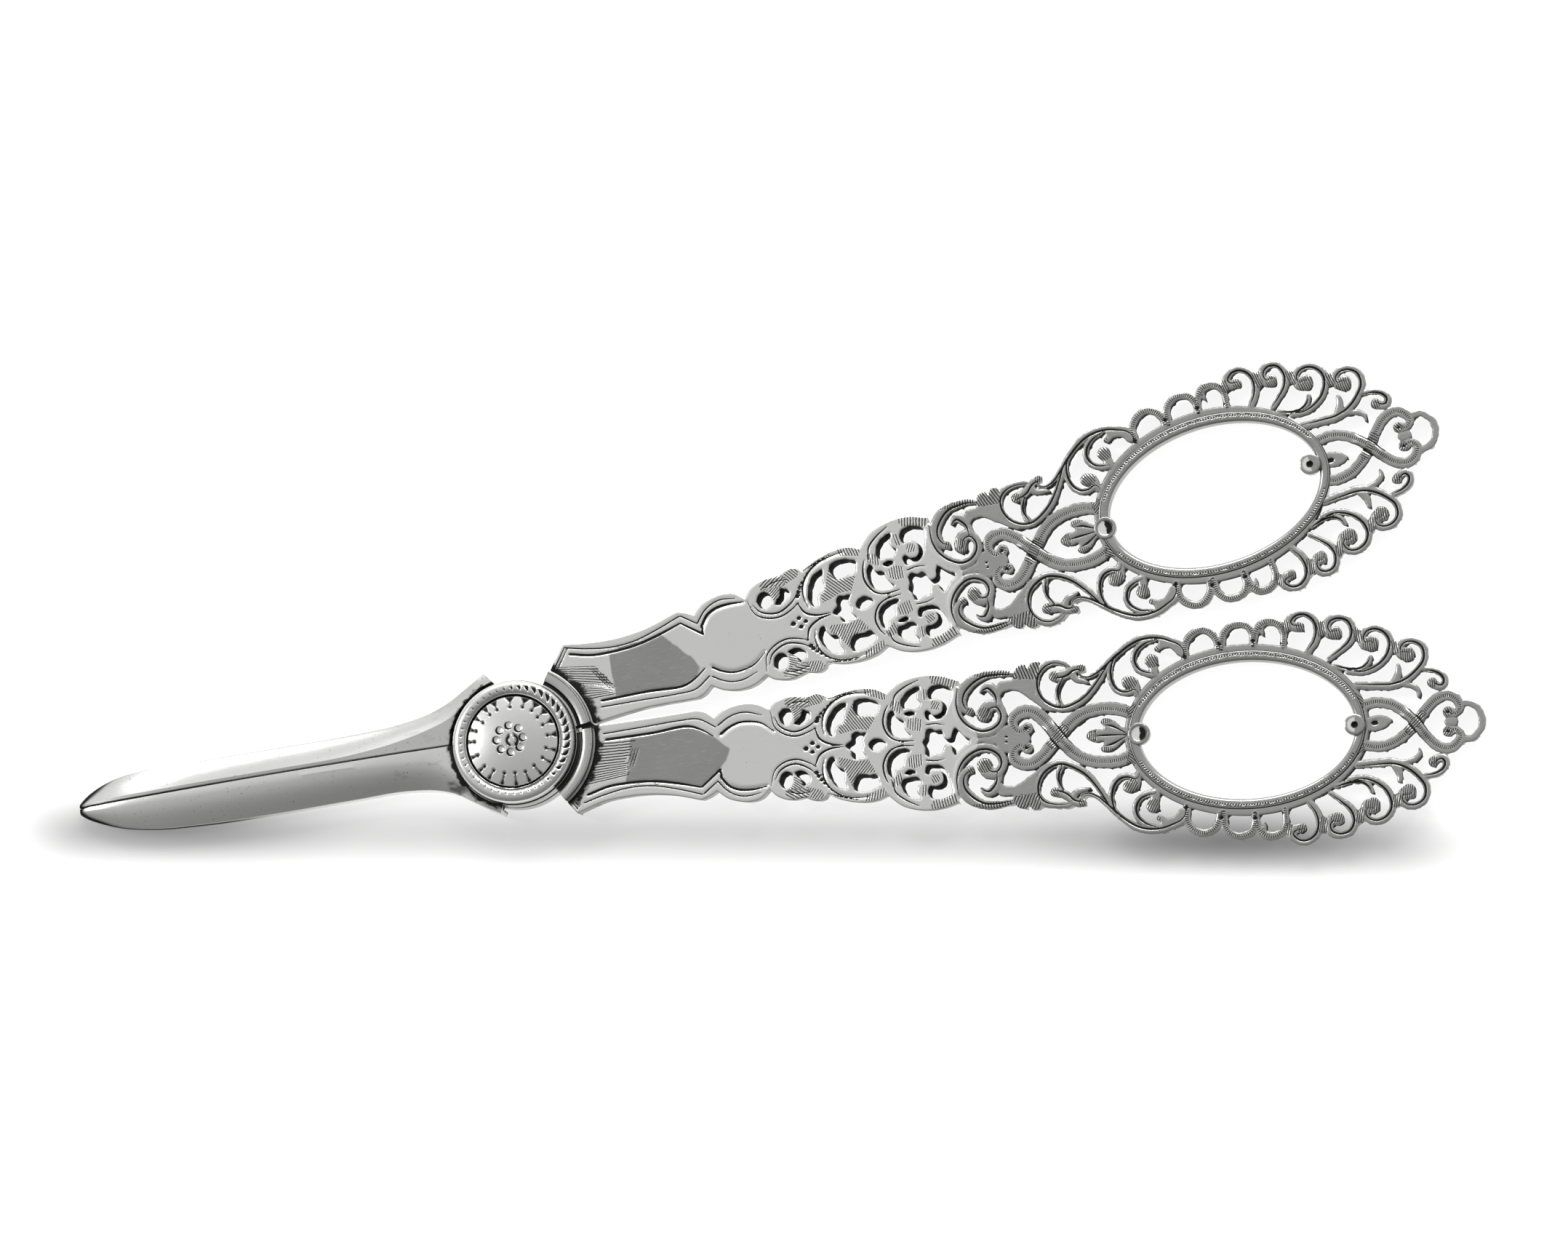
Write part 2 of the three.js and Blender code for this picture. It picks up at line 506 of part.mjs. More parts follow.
const pairedLoops = (tables) => tables.flatMap((places) => [
  edgeLoop(smoothRun(places.map(onGrid), true)),
  edgeLoop(smoothRun(mirrored(places).map(onGrid), true)),
]);
const gripHoles = [...pairedLoops(pairedHoleShares), ...axisHoleShares.map(symmetricLoop)];
const patches = [...pairedLoops(patchShares), symmetricLoop(palmetteShares)];
const bands = [
  ...[...bandShares, ...strapShares].flatMap((places) => [bandPath(places), bandPath(mirrored(places))]),
  ...axisBandShares.map(bandPath),
];

// Where a handle's own frame lies. In it x runs along the handle, and y points to the other handle.
function handleFrame(turn, pivotX, pivotY, side, cornerRadius, cornerAngle, panelInset, driftShares) {
  const cornerTurn = side * (THREE.MathUtils.degToRad(cornerAngle) - turn);
  const corner = [
    pivotX + cornerRadius * Math.cos(cornerTurn),
    pivotY + cornerRadius * Math.sin(cornerTurn),
  ];
  return { turn, pivotX, pivotY, side, cornerRadius, corner, panelInset, driftShares };
}

const lowerFrame = handleFrame(lowerHandleTurn, 0, lowerPivotOffset, 1, lowerCornerRadius,
  lowerBolsterAngles[0], lowerPanelInset, lowerDriftShares);
const upperFrame = handleFrame(upperHandleTurn, -upperHandleShift, upperPivotOffset, -1, upperCornerRadius,
  upperBolsterAngles[1], upperPanelInset, upperDriftShares);

// Half lengths and half widths of the bow's rings, from the finger opening outwards
const openingHalf = [bowOpeningLength / 2, bowOpeningWidth / 2];
const linerHalf = openingHalf.map((half) => half + linerWidth);
const seatHalf = linerHalf.map((half) => half + runningGap);
const flangeHalf = [seatHalf[0] + flangeEndWidth, seatHalf[1] + flangeSideWidth];
const beadPlaces = [nearBeadInset - openingHalf[0], openingHalf[0] - farBeadInset];

const handleHeight = (x) => rootThickness + (tailThickness - rootThickness) * (x / handleLength);

function place(mesh, frame) {
  const y = frame.side * frame.pivotY;
  mesh.rotation.z = frame.turn;
  mesh.position.x = -(frame.pivotX * Math.cos(frame.turn) - y * Math.sin(frame.turn));
  mesh.position.y = -(frame.pivotX * Math.sin(frame.turn) + y * Math.cos(frame.turn));
  return mesh;
}

// A handle's drift at a place along it, between the two nearest rows of its table
function driftAt(table, x) {
  const after = table.findIndex(([across]) => columnAt(across) > x);
  if (after === 0) return table[0].slice(1);
  if (after < 0) return table.at(-1).slice(1);
  const [from, ...before] = table[after - 1];
  const [to, ...following] = table[after];
  const share = THREE.MathUtils.smoothstep(x, columnAt(from), columnAt(to));
  return before.map((number, i) => THREE.MathUtils.lerp(number, following[i], share));
}

// Pierced handle with its flat back down
function handleGeometry(frame) {
  const grip = gripLoop(frame);
  const value = (x, turnedY) => {
    const y = frame.side * turnedY;
    const near = (pieces) => pieces.filter((piece) => nearBox(piece.box, x, y));
    let nearest = loopDistance(grip, x, y);
    for (const hole of near(gripHoles)) nearest = Math.max(nearest, -loopDistance(hole, x, y));
    for (const band of near(bands)) nearest = Math.min(nearest, bandDistance(band, x, y));
    for (const patch of near(patches)) nearest = Math.min(nearest, loopDistance(patch, x, y));
    nearest = Math.min(nearest, ellipseValue(x - bowCentre, y, ...flangeHalf));
    nearest = Math.max(nearest, -ellipseValue(x - bowCentre, y, ...seatHalf));
    const pivotDistance = Math.hypot(x - frame.pivotX, y - frame.pivotY);
    return Math.max(nearest, bolsterRadius + solderGap - pivotDistance);
  };
  const drift = ({ x, y }) => {
    const [along, inner, outer] = driftAt(frame.driftShares, x);
    const shift = (along * handleLength) / gridColumns;
    return new THREE.Vector2(x + shift, y * (y * frame.side > 0 ? inner : outer));
  };
  const margin = 3 * bandWidth;
  const box = new THREE.Box2(
    new THREE.Vector2(-margin, -handleHalfWidth - margin),
    new THREE.Vector2(handleLength + margin, handleHalfWidth + margin),
  );
  return tracedPlate(value, box, handleHeight, drift);
}

// Oval ring that lines the finger opening
function linerGeometry() {
  const shape = new THREE.Shape().absellipse(bowCentre, 0, ...linerHalf, 0, 2 * Math.PI, false);
  shape.holes = [new THREE.Path().absellipse(bowCentre, 0, ...openingHalf, 0, 2 * Math.PI, false)];
  return new THREE.ExtrudeGeometry(shape, {
    depth: linerHeight,
    bevelEnabled: false,
    curveSegments: roundSegments,
  });
}

// A closed body through sections that all have the same number of points
function loftGeometry(sections) {
  const count = sections[0].length;
  const positions = sections.flat(2);
  const triangles = [];
  for (let i = 0; i < sections.length - 1; i++) {
    for (let k = 0; k < count; k++) {
      const a = i * count + k;
      const b = i * count + ((k + 1) % count);
      triangles.push(a, b, b + count, a, b + count, a + count);
    }
  }
  for (let k = 1; k < count - 1; k++) {
    const end = (sections.length - 1) * count;
    triangles.push(0, k + 1, k, end, end + k, end + k + 1);
  }
  const geometry = new THREE.BufferGeometry();
  geometry.setAttribute('position', new THREE.Float32BufferAttribute(positions, 3));
  geometry.setIndex(triangles);
  return geometry;
}

function toSolid(geometry) {
  geometry.deleteAttribute('normal');
  geometry.deleteAttribute('uv');
  const merged = mergeVertices(geometry, weldDistance);
  const vertProperties = new Float32Array(merged.attributes.position.array);
  const triVerts = new Uint32Array(merged.index.array);
  return new wasm.Manifold(new wasm.Mesh({ numProp: 3, vertProperties, triVerts }));
}

function toGeometry(solid) {
  const mesh = solid.getMesh();
  const geometry = new THREE.BufferGeometry();
  geometry.setAttribute('position', new THREE.Float32BufferAttribute(mesh.vertProperties, 3));
  geometry.setIndex(new THREE.Uint32BufferAttribute(mesh.triVerts, 1));
  geometry.computeVertexNormals();
  return geometry;
}

// Upright cylinder between two levels
function roundSolid(radius, low, high, segments = roundSegments) {
  const geometry = new THREE.CylinderGeometry(radius, radius, high - low, segments);
  geometry.rotateX(Math.PI / 2);
  geometry.translate(0, 0, (low + high) / 2);
  return toSolid(geometry);
}

// Sector of a bolster from inside the lap to its outer edge
function bolsterSolid([startAngle, endAngle]) {
  const start = THREE.MathUtils.degToRad(startAngle);
  const end = THREE.MathUtils.degToRad(endAngle);
  const shape = new THREE.Shape();
  shape.absarc(0, 0, bolsterRadius, start, end, false);
  shape.absarc(0, 0, lapRadius - bolsterWidth, end, start, true);
  shape.closePath();
  const arcSegments = roundSegments / 4;
  return toSolid(new THREE.ExtrudeGeometry(shape, {
    depth: jawHeight,
    bevelEnabled: false,
    curveSegments: arcSegments,
  }));
}

// Blades are drawn on squares, 55 from the pivot to the tip and 10 to each side.
// Each station is: distance from the pivot, middle of the seam, ridge, outer edge,
// then ledge width and heights of seam, ridge and outer edge as shares of the full ledge and height.
const bladeColumns = 55;
const bladeRows = 10;
const bladeColumn = bladeLength / bladeColumns;
const bladeRow = jawHalfWidth / bladeRows;
const backBladeShares = [
  [54.6, 0.3, 0.55, 0.85, 0.1, 0.3, 0.3, 0.25],
  [54, 0.33, 0.65, 1.4, 0.3, 0.36, 0.37, 0.28],
  [52, 0.36, 0.8, 2.6, 0.7, 0.48, 0.49, 0.32],
  [50, 0.4, 0.9, 3.3, 1, 0.56, 0.57, 0.36],
  [46, 0.45, 0.95, 3.85, 1, 0.66, 0.68, 0.4],
  [40, 0.55, 1.05, 3.95, 1, 0.75, 0.78, 0.42],
  [30, 0.7, 1.2, 4.15, 1, 0.85, 0.88, 0.46],
  [20, 0.8, 1.5, 4.35, 1, 0.92, 0.95, 0.5],
  [14, 0.85, 2.3, 4.75, 1, 0.96, 0.98, 0.56],
  [10, 0.85, 3.3, 5.55, 1, 0.98, 0.99, 0.64],
  [8, 0.85, 4, 6.3, 1, 1, 1, 0.7],
  [6, 0.85, 5.2, 7.4, 1, 1, 1, 0.78],
  [4.4, 0.85, 6.3, 8.35, 1, 1, 1, 0.84],
];
const frontBladeShares = [
  [54.6, 0.3, -0.15, -0.45, 0.1, 0.3, 0.3, 0.25],
  [54, 0.33, -0.15, -0.95, 0.3, 0.36, 0.37, 0.28],
  [52, 0.36, -0.15, -2, 0.7, 0.48, 0.49, 0.32],
  [50, 0.4, -0.12, -2.75, 1, 0.56, 0.57, 0.36],
  [46, 0.45, -0.1, -3.55, 1, 0.66, 0.68, 0.4],
  [40, 0.55, -0.1, -3.95, 1, 0.75, 0.78, 0.42],
  [30, 0.7, -0.08, -4, 1, 0.85, 0.88, 0.46],
  [20, 0.8, -0.05, -3.8, 1, 0.92, 0.95, 0.5],
  [14, 0.85, -0.35, -3.75, 1, 0.96, 0.98, 0.56],
  [10, 0.85, -0.85, -4.35, 1, 0.98, 0.99, 0.64],
  [8, 0.85, -2.3, -5.1, 1, 1, 1, 0.7],
  [6, 0.85, -4.4, -6.4, 1, 1, 1, 0.78],
  [4.4, 0.85, -5.9, -7.45, 1, 1, 1, 0.84],
];
// Shoulder of a blade: its tip, and a place on its end face beside the lap
const backShoulderShares = [[-2.9, 9.2], [-1.7, 7.6]];
const frontShoulderShares = [[-2.7, -8.45], [-2.3, -7.3]];
const shoulderHeightShare = 0.9;
const ledgeHeightShare = lapThickness / jawHeight;

const onBlade = ([across, up]) => [across * bladeColumn, up * bladeRow];

// Stations of a blade as places in plan: ledge, seam, ridge and outer edge
function bladeStations(table, shoulder, seamSide, ledgeSide) {
  const stations = table.map(([back, seam, ridge, outer, ledge, seamHeight, ridgeHeight, outerHeight]) => {
    const x = -back * bladeColumn;
    const seamY = seam * bladeRow + (seamSide * seamGap) / 2;
    const ledgeY = seamY - ledge * ledgeWidth + ledgeSide;
    return {
      ledge: [x, ledgeY],
      seam: [x, seamY],
      ridge: [x, ridge * bladeRow],
      outer: [x, outer * bladeRow],
      heights: [seamHeight, ridgeHeight, outerHeight].map((share) => share * jawHeight),
    };
  });
  const tip = new THREE.Vector2(...onBlade(shoulder[0]));
  const inward = new THREE.Vector2(...onBlade(shoulder[1])).sub(tip).normalize();
  const alongEnd = (distance) => tip.clone().addScaledVector(inward, distance).toArray();
  stations.push({
    ledge: alongEnd(lapRadius),
    seam: alongEnd(lapRadius - seamGap),
    ridge: alongEnd(bolsterWidth),
    outer: tip.toArray(),
    heights: [jawHeight, jawHeight, jawHeight * shoulderHeightShare],
  });
  return stations;
}

// Back blade: its ledge runs on under the front blade, below the lap's level
function backBladeSolid() {
  const stations = bladeStations(backBladeShares, backShoulderShares, 1, 0);
  const sections = stations.map(({ ledge, seam, ridge, outer, heights }) => {
    const ledgeTop = heights[0] * ledgeHeightShare;
    return [
      [...outer, 0],
      [...ledge, 0],
      [...ledge, ledgeTop],
      [...seam, ledgeTop],
      [...seam, heights[0]],
      [...ridge, heights[1]],
      [...outer, heights[2]],
    ].reverse();
  });
  return toSolid(loftGeometry(sections));
}

// Front blade: it hangs over the back blade's ledge
function frontBladeSolid() {
  const stations = bladeStations(frontBladeShares, frontShoulderShares, -1, -runningGap);
  const sections = stations.map(({ ledge, seam, ridge, outer, heights }) => {
    const overhang = heights[0] * ledgeHeightShare + runningGap;
    return [
      [...outer, 0],
      [...ledge, 0],
      [...ledge, overhang],
      [...seam, overhang],
      [...seam, heights[0]],
      [...ridge, heights[1]],
      [...outer, heights[2]],
    ];
  });
  return toSolid(loftGeometry(sections));
}

// Back jaw: blade, lap at the back and bolster of the lower handle
function backJawGeometry() {
  const groove = roundSolid(clearRadius, lapThickness, overrunHeight);
  const lap = roundSolid(lapRadius, 0, lapThickness);
  const bore = roundSolid(boreRadius, -cutOverrun, overrunHeight, smallRoundSegments);
  const recess = roundSolid(backWasherRadius + runningGap, -cutOverrun, backWasherThickness + skimGap);
  const body = backBladeSolid().add(bolsterSolid(lowerBolsterAngles)).subtract(groove);
  return toGeometry(body.add(lap).subtract(bore).subtract(recess));
}

// Front jaw: blade, lap at the front and bolster of the upper handle
function frontJawGeometry() {
  const groove = roundSolid(clearRadius, -cutOverrun, frontLapBase);
  const lap = roundSolid(lapRadius, frontLapBase, jawHeight);
  const bore = roundSolid(boreRadius, -cutOverrun, overrunHeight, smallRoundSegments);
  const body = frontBladeSolid().add(bolsterSolid(upperBolsterAngles)).subtract(groove);
  return toGeometry(body.add(lap).subtract(bore));
}

// A turned piece from its profile, each point a radius and a level
function turnedGeometry(profile, segments) {
  const points = profile.map(([radius, level]) => new THREE.Vector2(radius, level));
  const geometry = new THREE.LatheGeometry(points, segments);
  geometry.rotateX(Math.PI / 2);
  return geometry;
}

function pinGeometry() {
  return turnedGeometry([[0, 0], [pinRadius, 0], [pinRadius, capBase], [0, capBase]], smallRoundSegments);
}

function flatRingGeometry(inner, outer, low, high, segments) {
  return turnedGeometry([[inner, low], [outer, low], [outer, high], [inner, high], [inner, low]], segments);
}

// Rosette disc with a low crown
function discGeometry() {
  const crownShares = [1, 0.8, 0.6, 0.4, 0.2, 0];
  const crown = crownShares.map((share) => [
    discRadius * share,
    capBase + discEdgeHeight + discCrown * (1 - share * share),
  ]);
  return turnedGeometry([[0, capBase], [discRadius, capBase], ...crown], roundSegments);
}

function rimGeometry() {
  const inner = discRadius + runningGap;
  const top = capBase + rimHeight;
  return turnedGeometry([
    [inner, capBase],
    [rimRadius, capBase],
    [rimRadius, top - rimBevel],
    [rimRadius - rimBevel, top],
    [inner + rimInnerBevel, top],
    [inner, top - rimInnerBevel],
    [inner, capBase],
  ], roundSegments);
}

// Domed bead on the liner at one end of a finger opening
function beadGeometry(across) {
  const levels = 5;
  const profile = [[0, 0], [beadRadius, 0], [beadRadius, beadRim]];
  for (let i = 1; i <= levels; i++) {
    const turn = (i / levels) * (Math.PI / 2);
    const radius = i === levels ? 0 : beadRadius * Math.cos(turn);
    profile.push([radius, beadRim + (beadRise - beadRim) * Math.sin(turn)]);
  }
  const geometry = turnedGeometry(profile, smallRoundSegments);
  geometry.translate(bowCentre + across, 0, linerHeight);
  return geometry;
}

const silver = () => new THREE.MeshStandardMaterial({ color: 0xd6d6d4, metalness: 1, roughness: 0.22 });
const satinSilver = () => new THREE.MeshStandardMaterial({ color: 0xb4b4b2, metalness: 1, roughness: 0.38 });
const darkSilver = () => new THREE.MeshStandardMaterial({ color: 0x8f8f8c, metalness: 1, roughness: 0.5 });

function piece(name, geometry, material) {
  const mesh = new THREE.Mesh(geometry, material);
  mesh.name = name;
  return mesh;
}

// Handle with its bow's liner and two beads
function handlePieces(side, frame) {
  const pieces = [
    piece(`${side}_handle`, handleGeometry(frame), satinSilver()),
    piece(`${side}_bow_liner`, linerGeometry(), silver()),
    piece(`${side}_near_bead`, beadGeometry(beadPlaces[0]), silver()),
    piece(`${side}_far_bead`, beadGeometry(beadPlaces[1]), silver()),
  ];
  return pieces.map((mesh) => place(mesh, frame));
}

const backHalf = new THREE.Group();
backHalf.add(piece('back_jaw', backJawGeometry(), silver()));
backHalf.add(...handlePieces('lower', lowerFrame));
backHalf.add(piece('pivot_pin', pinGeometry(), darkSilver()));
backHalf.add(piece('rosette_disc', discGeometry(), silver()));
backHalf.add(piece('milled_rim', rimGeometry(), silver()));
backHalf.add(piece('friction_washer',
  flatRingGeometry(boreRadius, washerRadius, lapThickness, lapThickness + washerThickness, roundSegments),
  darkSilver()));
backHalf.add(piece('back_washer',
  flatRingGeometry(boreRadius, backWasherRadius, 0, backWasherThickness, roundSegments), darkSilver()));

const frontHalf = new THREE.Group();
frontHalf.add(piece('front_jaw', frontJawGeometry(), silver()));
frontHalf.add(...handlePieces('upper', upperFrame));

const shears = new THREE.Group();
shears.add(backHalf, frontHalf);

export default shears;
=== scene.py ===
# %% [markdown]
# # Silver grape shears
# A pair of table shears for cutting grapes. The handles are flat plates of silver that were sawn
# into scrollwork and then engraved by hand, so most of this lesson is about one idea: draw the
# pattern as curves, turn the curves into a distance map, and let that map make both the
# saw-cut outline and the engraved lines.

import math

import bmesh
import bpy
import numpy as np
from mathutils import Euler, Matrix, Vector
from mathutils.geometry import delaunay_2d_cdt


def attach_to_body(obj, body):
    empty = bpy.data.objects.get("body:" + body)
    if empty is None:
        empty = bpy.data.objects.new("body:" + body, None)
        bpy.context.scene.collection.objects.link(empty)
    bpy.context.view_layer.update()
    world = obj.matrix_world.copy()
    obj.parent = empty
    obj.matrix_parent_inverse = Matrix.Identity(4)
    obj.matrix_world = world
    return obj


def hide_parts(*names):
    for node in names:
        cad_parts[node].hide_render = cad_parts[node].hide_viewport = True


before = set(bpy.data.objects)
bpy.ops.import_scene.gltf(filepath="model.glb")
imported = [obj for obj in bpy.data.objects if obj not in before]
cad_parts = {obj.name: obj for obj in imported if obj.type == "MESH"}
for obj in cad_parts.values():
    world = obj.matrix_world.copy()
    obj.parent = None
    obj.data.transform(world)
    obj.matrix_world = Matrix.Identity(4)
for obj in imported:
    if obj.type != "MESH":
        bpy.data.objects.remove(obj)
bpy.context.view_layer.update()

# %% [markdown]
# ## The camera
# The shears lie on a table and are seen from almost straight above, from a little below and to
# the right of the middle of the picture. A long lens from far away keeps both handles the same
# size. An empty target isn't needed: the place and the turn are enough.

# %% Camera
MM = 0.001

lens = bpy.data.cameras.new("camera")
lens.sensor_width = 36
lens.lens = 561.61
lens.clip_end = 20
camera = bpy.data.objects.new("camera", lens)
camera.location = Vector((537.98, -562.18, 2904.2)) * MM
camera.rotation_euler = Euler([math.radians(turn) for turn in (9.796, 11.025, -6.569)])
bpy.context.scene.collection.objects.link(camera)
bpy.context.scene.camera = camera
bpy.context.scene.view_settings.view_transform = "Standard"
print("camera is", round(camera.location.length, 3), "m from the pivot")

# %% [markdown]
# ## Helpers for materials
# Materials in Blender are small networks of nodes. Written out one by one they fill pages, so a few
# helpers come first: one that makes a node and joins its sockets, and short names for the sums,
# smooth steps and noise that silver needs again and again.

# %% Material helpers
def new_material(name):
    material = bpy.data.materials.new(name)
    material.use_nodes = True
    return material, material.node_tree, material.node_tree.nodes["Principled BSDF"]


def put(tree, kind, **values):
    """A node with some of its sockets set or linked, by name or by number."""
    node = tree.nodes.new(kind)
    for key, value in values.items():
        if key.startswith("set_"):
            setattr(node, key[4:], value)
    for key, value in values.items():
        if key.startswith("set_"):
            continue
        socket = node.inputs[int(key[1:])] if key[0] == "_" else node.inputs[key.replace("__", " ")]
        if isinstance(value, bpy.types.NodeSocket):
            tree.links.new(value, socket)
        else:
            socket.default_value = value
    return node


def math_node(tree, operation, first, second=0.0, clamp=False):
    node = put(tree, "ShaderNodeMath", set_operation=operation, set_use_clamp=clamp, _0=first, _1=second)
    return node.outputs[0]


def chained(operation):
    """A helper that joins any number of sockets and numbers with one kind of sum."""
    def join(tree, first, *others):
        for other in others:
            first = math_node(tree, operation, first, other)
        return first
    return join


product, total, darkest = chained("MULTIPLY"), chained("ADD"), chained("MAXIMUM")


def stored(tree, label):
    return put(tree, "ShaderNodeAttribute", set_attribute_name=label).outputs["Fac"]


def ramp(tree, value, low, high, start=0.0, end=1.0):
    """A smooth step of a value between low and high."""
    node = put(tree, "ShaderNodeMapRange", set_interpolation_type="SMOOTHSTEP", Value=value)
    for socket, number in zip(node.inputs[1:5], (low, high, start, end)):
        socket.default_value = number
    return node.outputs[0]


def mix_colour(tree, share, first, second):
    node = put(tree, "ShaderNodeMix", set_data_type="RGBA")
    for socket, value in zip((node.inputs[0], node.inputs[6], node.inputs[7]), (share, first, second)):
        if isinstance(value, bpy.types.NodeSocket):
            tree.links.new(value, socket)
        elif isinstance(value, tuple):
            socket.default_value = (*value, 1)
        else:
            socket.default_value = value
    return node.outputs[2]


def noise(tree, scale, detail=2.0, stretch=(1, 1, 1)):
    """Noise in the piece's own metres, drawn out along an axis for scratches."""
    place = put(tree, "ShaderNodeTexCoord").outputs["Object"]
    turned = put(tree, "ShaderNodeMapping", Vector=place, Scale=stretch).outputs[0]
    return put(tree, "ShaderNodeTexNoise", Vector=turned, Scale=scale, Detail=detail).outputs["Fac"]


def grey(level):
    return (level, level, level * 0.99)


def bell(tree, value, centre, reach):
    """1 at a centre, falling smoothly to 0 at a reach on both sides of it."""
    away = math_node(tree, "ABSOLUTE", math_node(tree, "SUBTRACT", value, centre))
    return ramp(tree, away, 0, reach, 1, 0)


print("helpers ready")

# %% [markdown]
# ## Table, sky and lamps
# Polished silver shows what stands round it, so most of its light is a sky with soft steps: bright
# behind the shears, grey overhead and darker in front. The table is a light table, white opal
# with much light of its own, which keeps the sawn holes white. Light like that leaves no shadow to
# speak of, so the soft shadow in front of the shears is painted into the opal: a faint band along
# them with a darker pool under the blades and another under the lower bow.

# %% Table
def new_object(name, mesh):
    thing = bpy.data.objects.new(name, mesh)
    bpy.context.scene.collection.objects.link(thing)
    return thing


# the painted shadow in front of the shears: its turn and slope, its middle and reach across them, and its
# depth
SHADE_TURN, SHADE_SLOPE = math.radians(8.3), 0.0117
SHADE_MIDDLE, SHADE_REACH, SHADE_DEPTH = -10.85 * MM, 6.4 * MM, 0.42
SHADE_ENDS = ((-68 * MM, -54 * MM), (126 * MM, 108 * MM))
# the two darker pools of painted shadow in it: where along the shears, how far each reaches, and how deep it
# is
POOLS = ((-43 * MM, 26 * MM, 0.27), (88.5 * MM, 32 * MM, 0.36))
TABLE_GLOW = 0.86
TABLE_LEVEL = -0.2 * MM


def opal_with_painted_shadow():
    material, tree, shader = new_material("opal_with_painted_shadow")
    place = put(tree, "ShaderNodeTexCoord").outputs["Object"]
    turned = put(tree, "ShaderNodeMapping", Vector=place, Rotation=(0, 0, SHADE_TURN)).outputs[0]
    along, across, _ = put(tree, "ShaderNodeSeparateXYZ", Vector=turned).outputs
    # painted shadow: the band and its two pools darken the opal's glow and its colour
    band = bell(tree, total(tree, across, product(tree, along, SHADE_SLOPE)), SHADE_MIDDLE, SHADE_REACH)
    shade = product(tree, *(ramp(tree, along, *end) for end in SHADE_ENDS), SHADE_DEPTH)
    for centre, reach, depth in POOLS:
        shade = total(tree, shade, product(tree, bell(tree, along, centre, reach), depth))
    shade = product(tree, shade, band)
    glow = mix_colour(tree, shade, (1.0, 1.0, 1.0), (0.0, 0.0, 0.0))
    tree.links.new(glow, shader.inputs["Emission Color"])
    tree.links.new(mix_colour(tree, shade, grey(0.4), grey(0.0)), shader.inputs["Base Color"])
    shader.inputs["Emission Strength"].default_value = TABLE_GLOW
    shader.inputs["Roughness"].default_value = 0.9
    return material


def light_table(reach=0.9):
    mesh = bpy.data.meshes.new("table_top")
    corners = [(-reach, -reach), (reach, -reach), (reach, reach), (-reach, reach)]
    mesh.from_pydata([(x, y, TABLE_LEVEL) for x, y in corners], [], [(0, 1, 2, 3)])
    mesh.materials.append(opal_with_painted_shadow())
    return new_object("table_top", mesh)


light_table()
print("the table lies", round(-TABLE_LEVEL / MM, 2), "mm under the shears")

# %% [markdown]
# The sky is a small network too: the direction of a ray picks a grey from a short scale. Lamps
# alone could light the shears, but in metal that mirrors, the steps of a sky are easier to place.
# Two soft lamps add the long bright streaks, one from behind and one from the side.

# %% Sky and panels
def graded_sky(steps):
    """A sky whose brightness follows y, from the front (-1) over the top (0) to the back (1)."""
    world = bpy.data.worlds.new("studio")
    world.use_nodes = True
    tree = world.node_tree
    sky = tree.nodes["Background"]
    direction = tree.nodes.new("ShaderNodeTexCoord").outputs["Generated"]
    axes = tree.nodes.new("ShaderNodeSeparateXYZ")
    share = tree.nodes.new("ShaderNodeMapRange")
    share.inputs["From Min"].default_value = -1
    scale = tree.nodes.new("ShaderNodeValToRGB")
    while len(scale.color_ramp.elements) < len(steps):
        scale.color_ramp.elements.new(0.5)
    for stop, (place, level) in zip(scale.color_ramp.elements, steps):
        stop.position = (place + 1) / 2
        stop.color = (level, level, level, 1)
    tree.links.new(direction, axes.inputs[0])
    tree.links.new(axes.outputs["Y"], share.inputs["Value"])
    tree.links.new(share.outputs[0], scale.inputs[0])
    tree.links.new(scale.outputs[0], sky.inputs["Color"])
    return world


def soft_panel(name, place, aim, size, power):
    panel = bpy.data.lights.new(name, "AREA")
    panel.shape = "RECTANGLE"
    panel.size, panel.size_y = size
    panel.energy = power
    lamp = new_object(name, panel)
    lamp.location = place
    lamp.rotation_euler = (Vector(aim) - Vector(place)).to_track_quat("-Z", "Y").to_euler()
    return lamp


# each step of the sky: how far from the front (-1) to the back (1), and how bright
SKY_STEPS = [(-0.95, 0.22), (-0.5, 0.34), (0.1, 0.62), (0.45, 0.72), (0.85, 1.0)]
# each lamp's place, size in metres and power in watts
PANEL_LAMPS = {
    "back_panel": ((0.1, 0.85, 0.6), (0.9, 0.25), 7),
    "side_panel": ((-0.7, 0.3, 0.8), (0.3, 0.3), 2.5),
}
MIDDLE_OF_SHEARS = (0.035, 0.01, 0)

bpy.context.scene.world = graded_sky(SKY_STEPS)
for name, (place, size, power) in PANEL_LAMPS.items():
    soft_panel(name, place, MIDDLE_OF_SHEARS, size, power)

# %% [markdown]
# ## Where the handles lie
# Each handle is drawn in its own flat frame in millimetres: u runs along it from the pivot, and v
# points to the other handle. One drawing then serves both handles, and the second one is its
# mirror image, turned the other way. Both were sawn by hand, so each drifts a little from the
# drawing, and a short table says by how much at a few places along it.

# %% Handle frames
HANDLE_LENGTH = 120
THICK_AT_PIVOT, THICK_AT_TAIL = 3.2, 1.8
BOLSTER_RADIUS = 9.6
SOLDER_GAP = 0.3

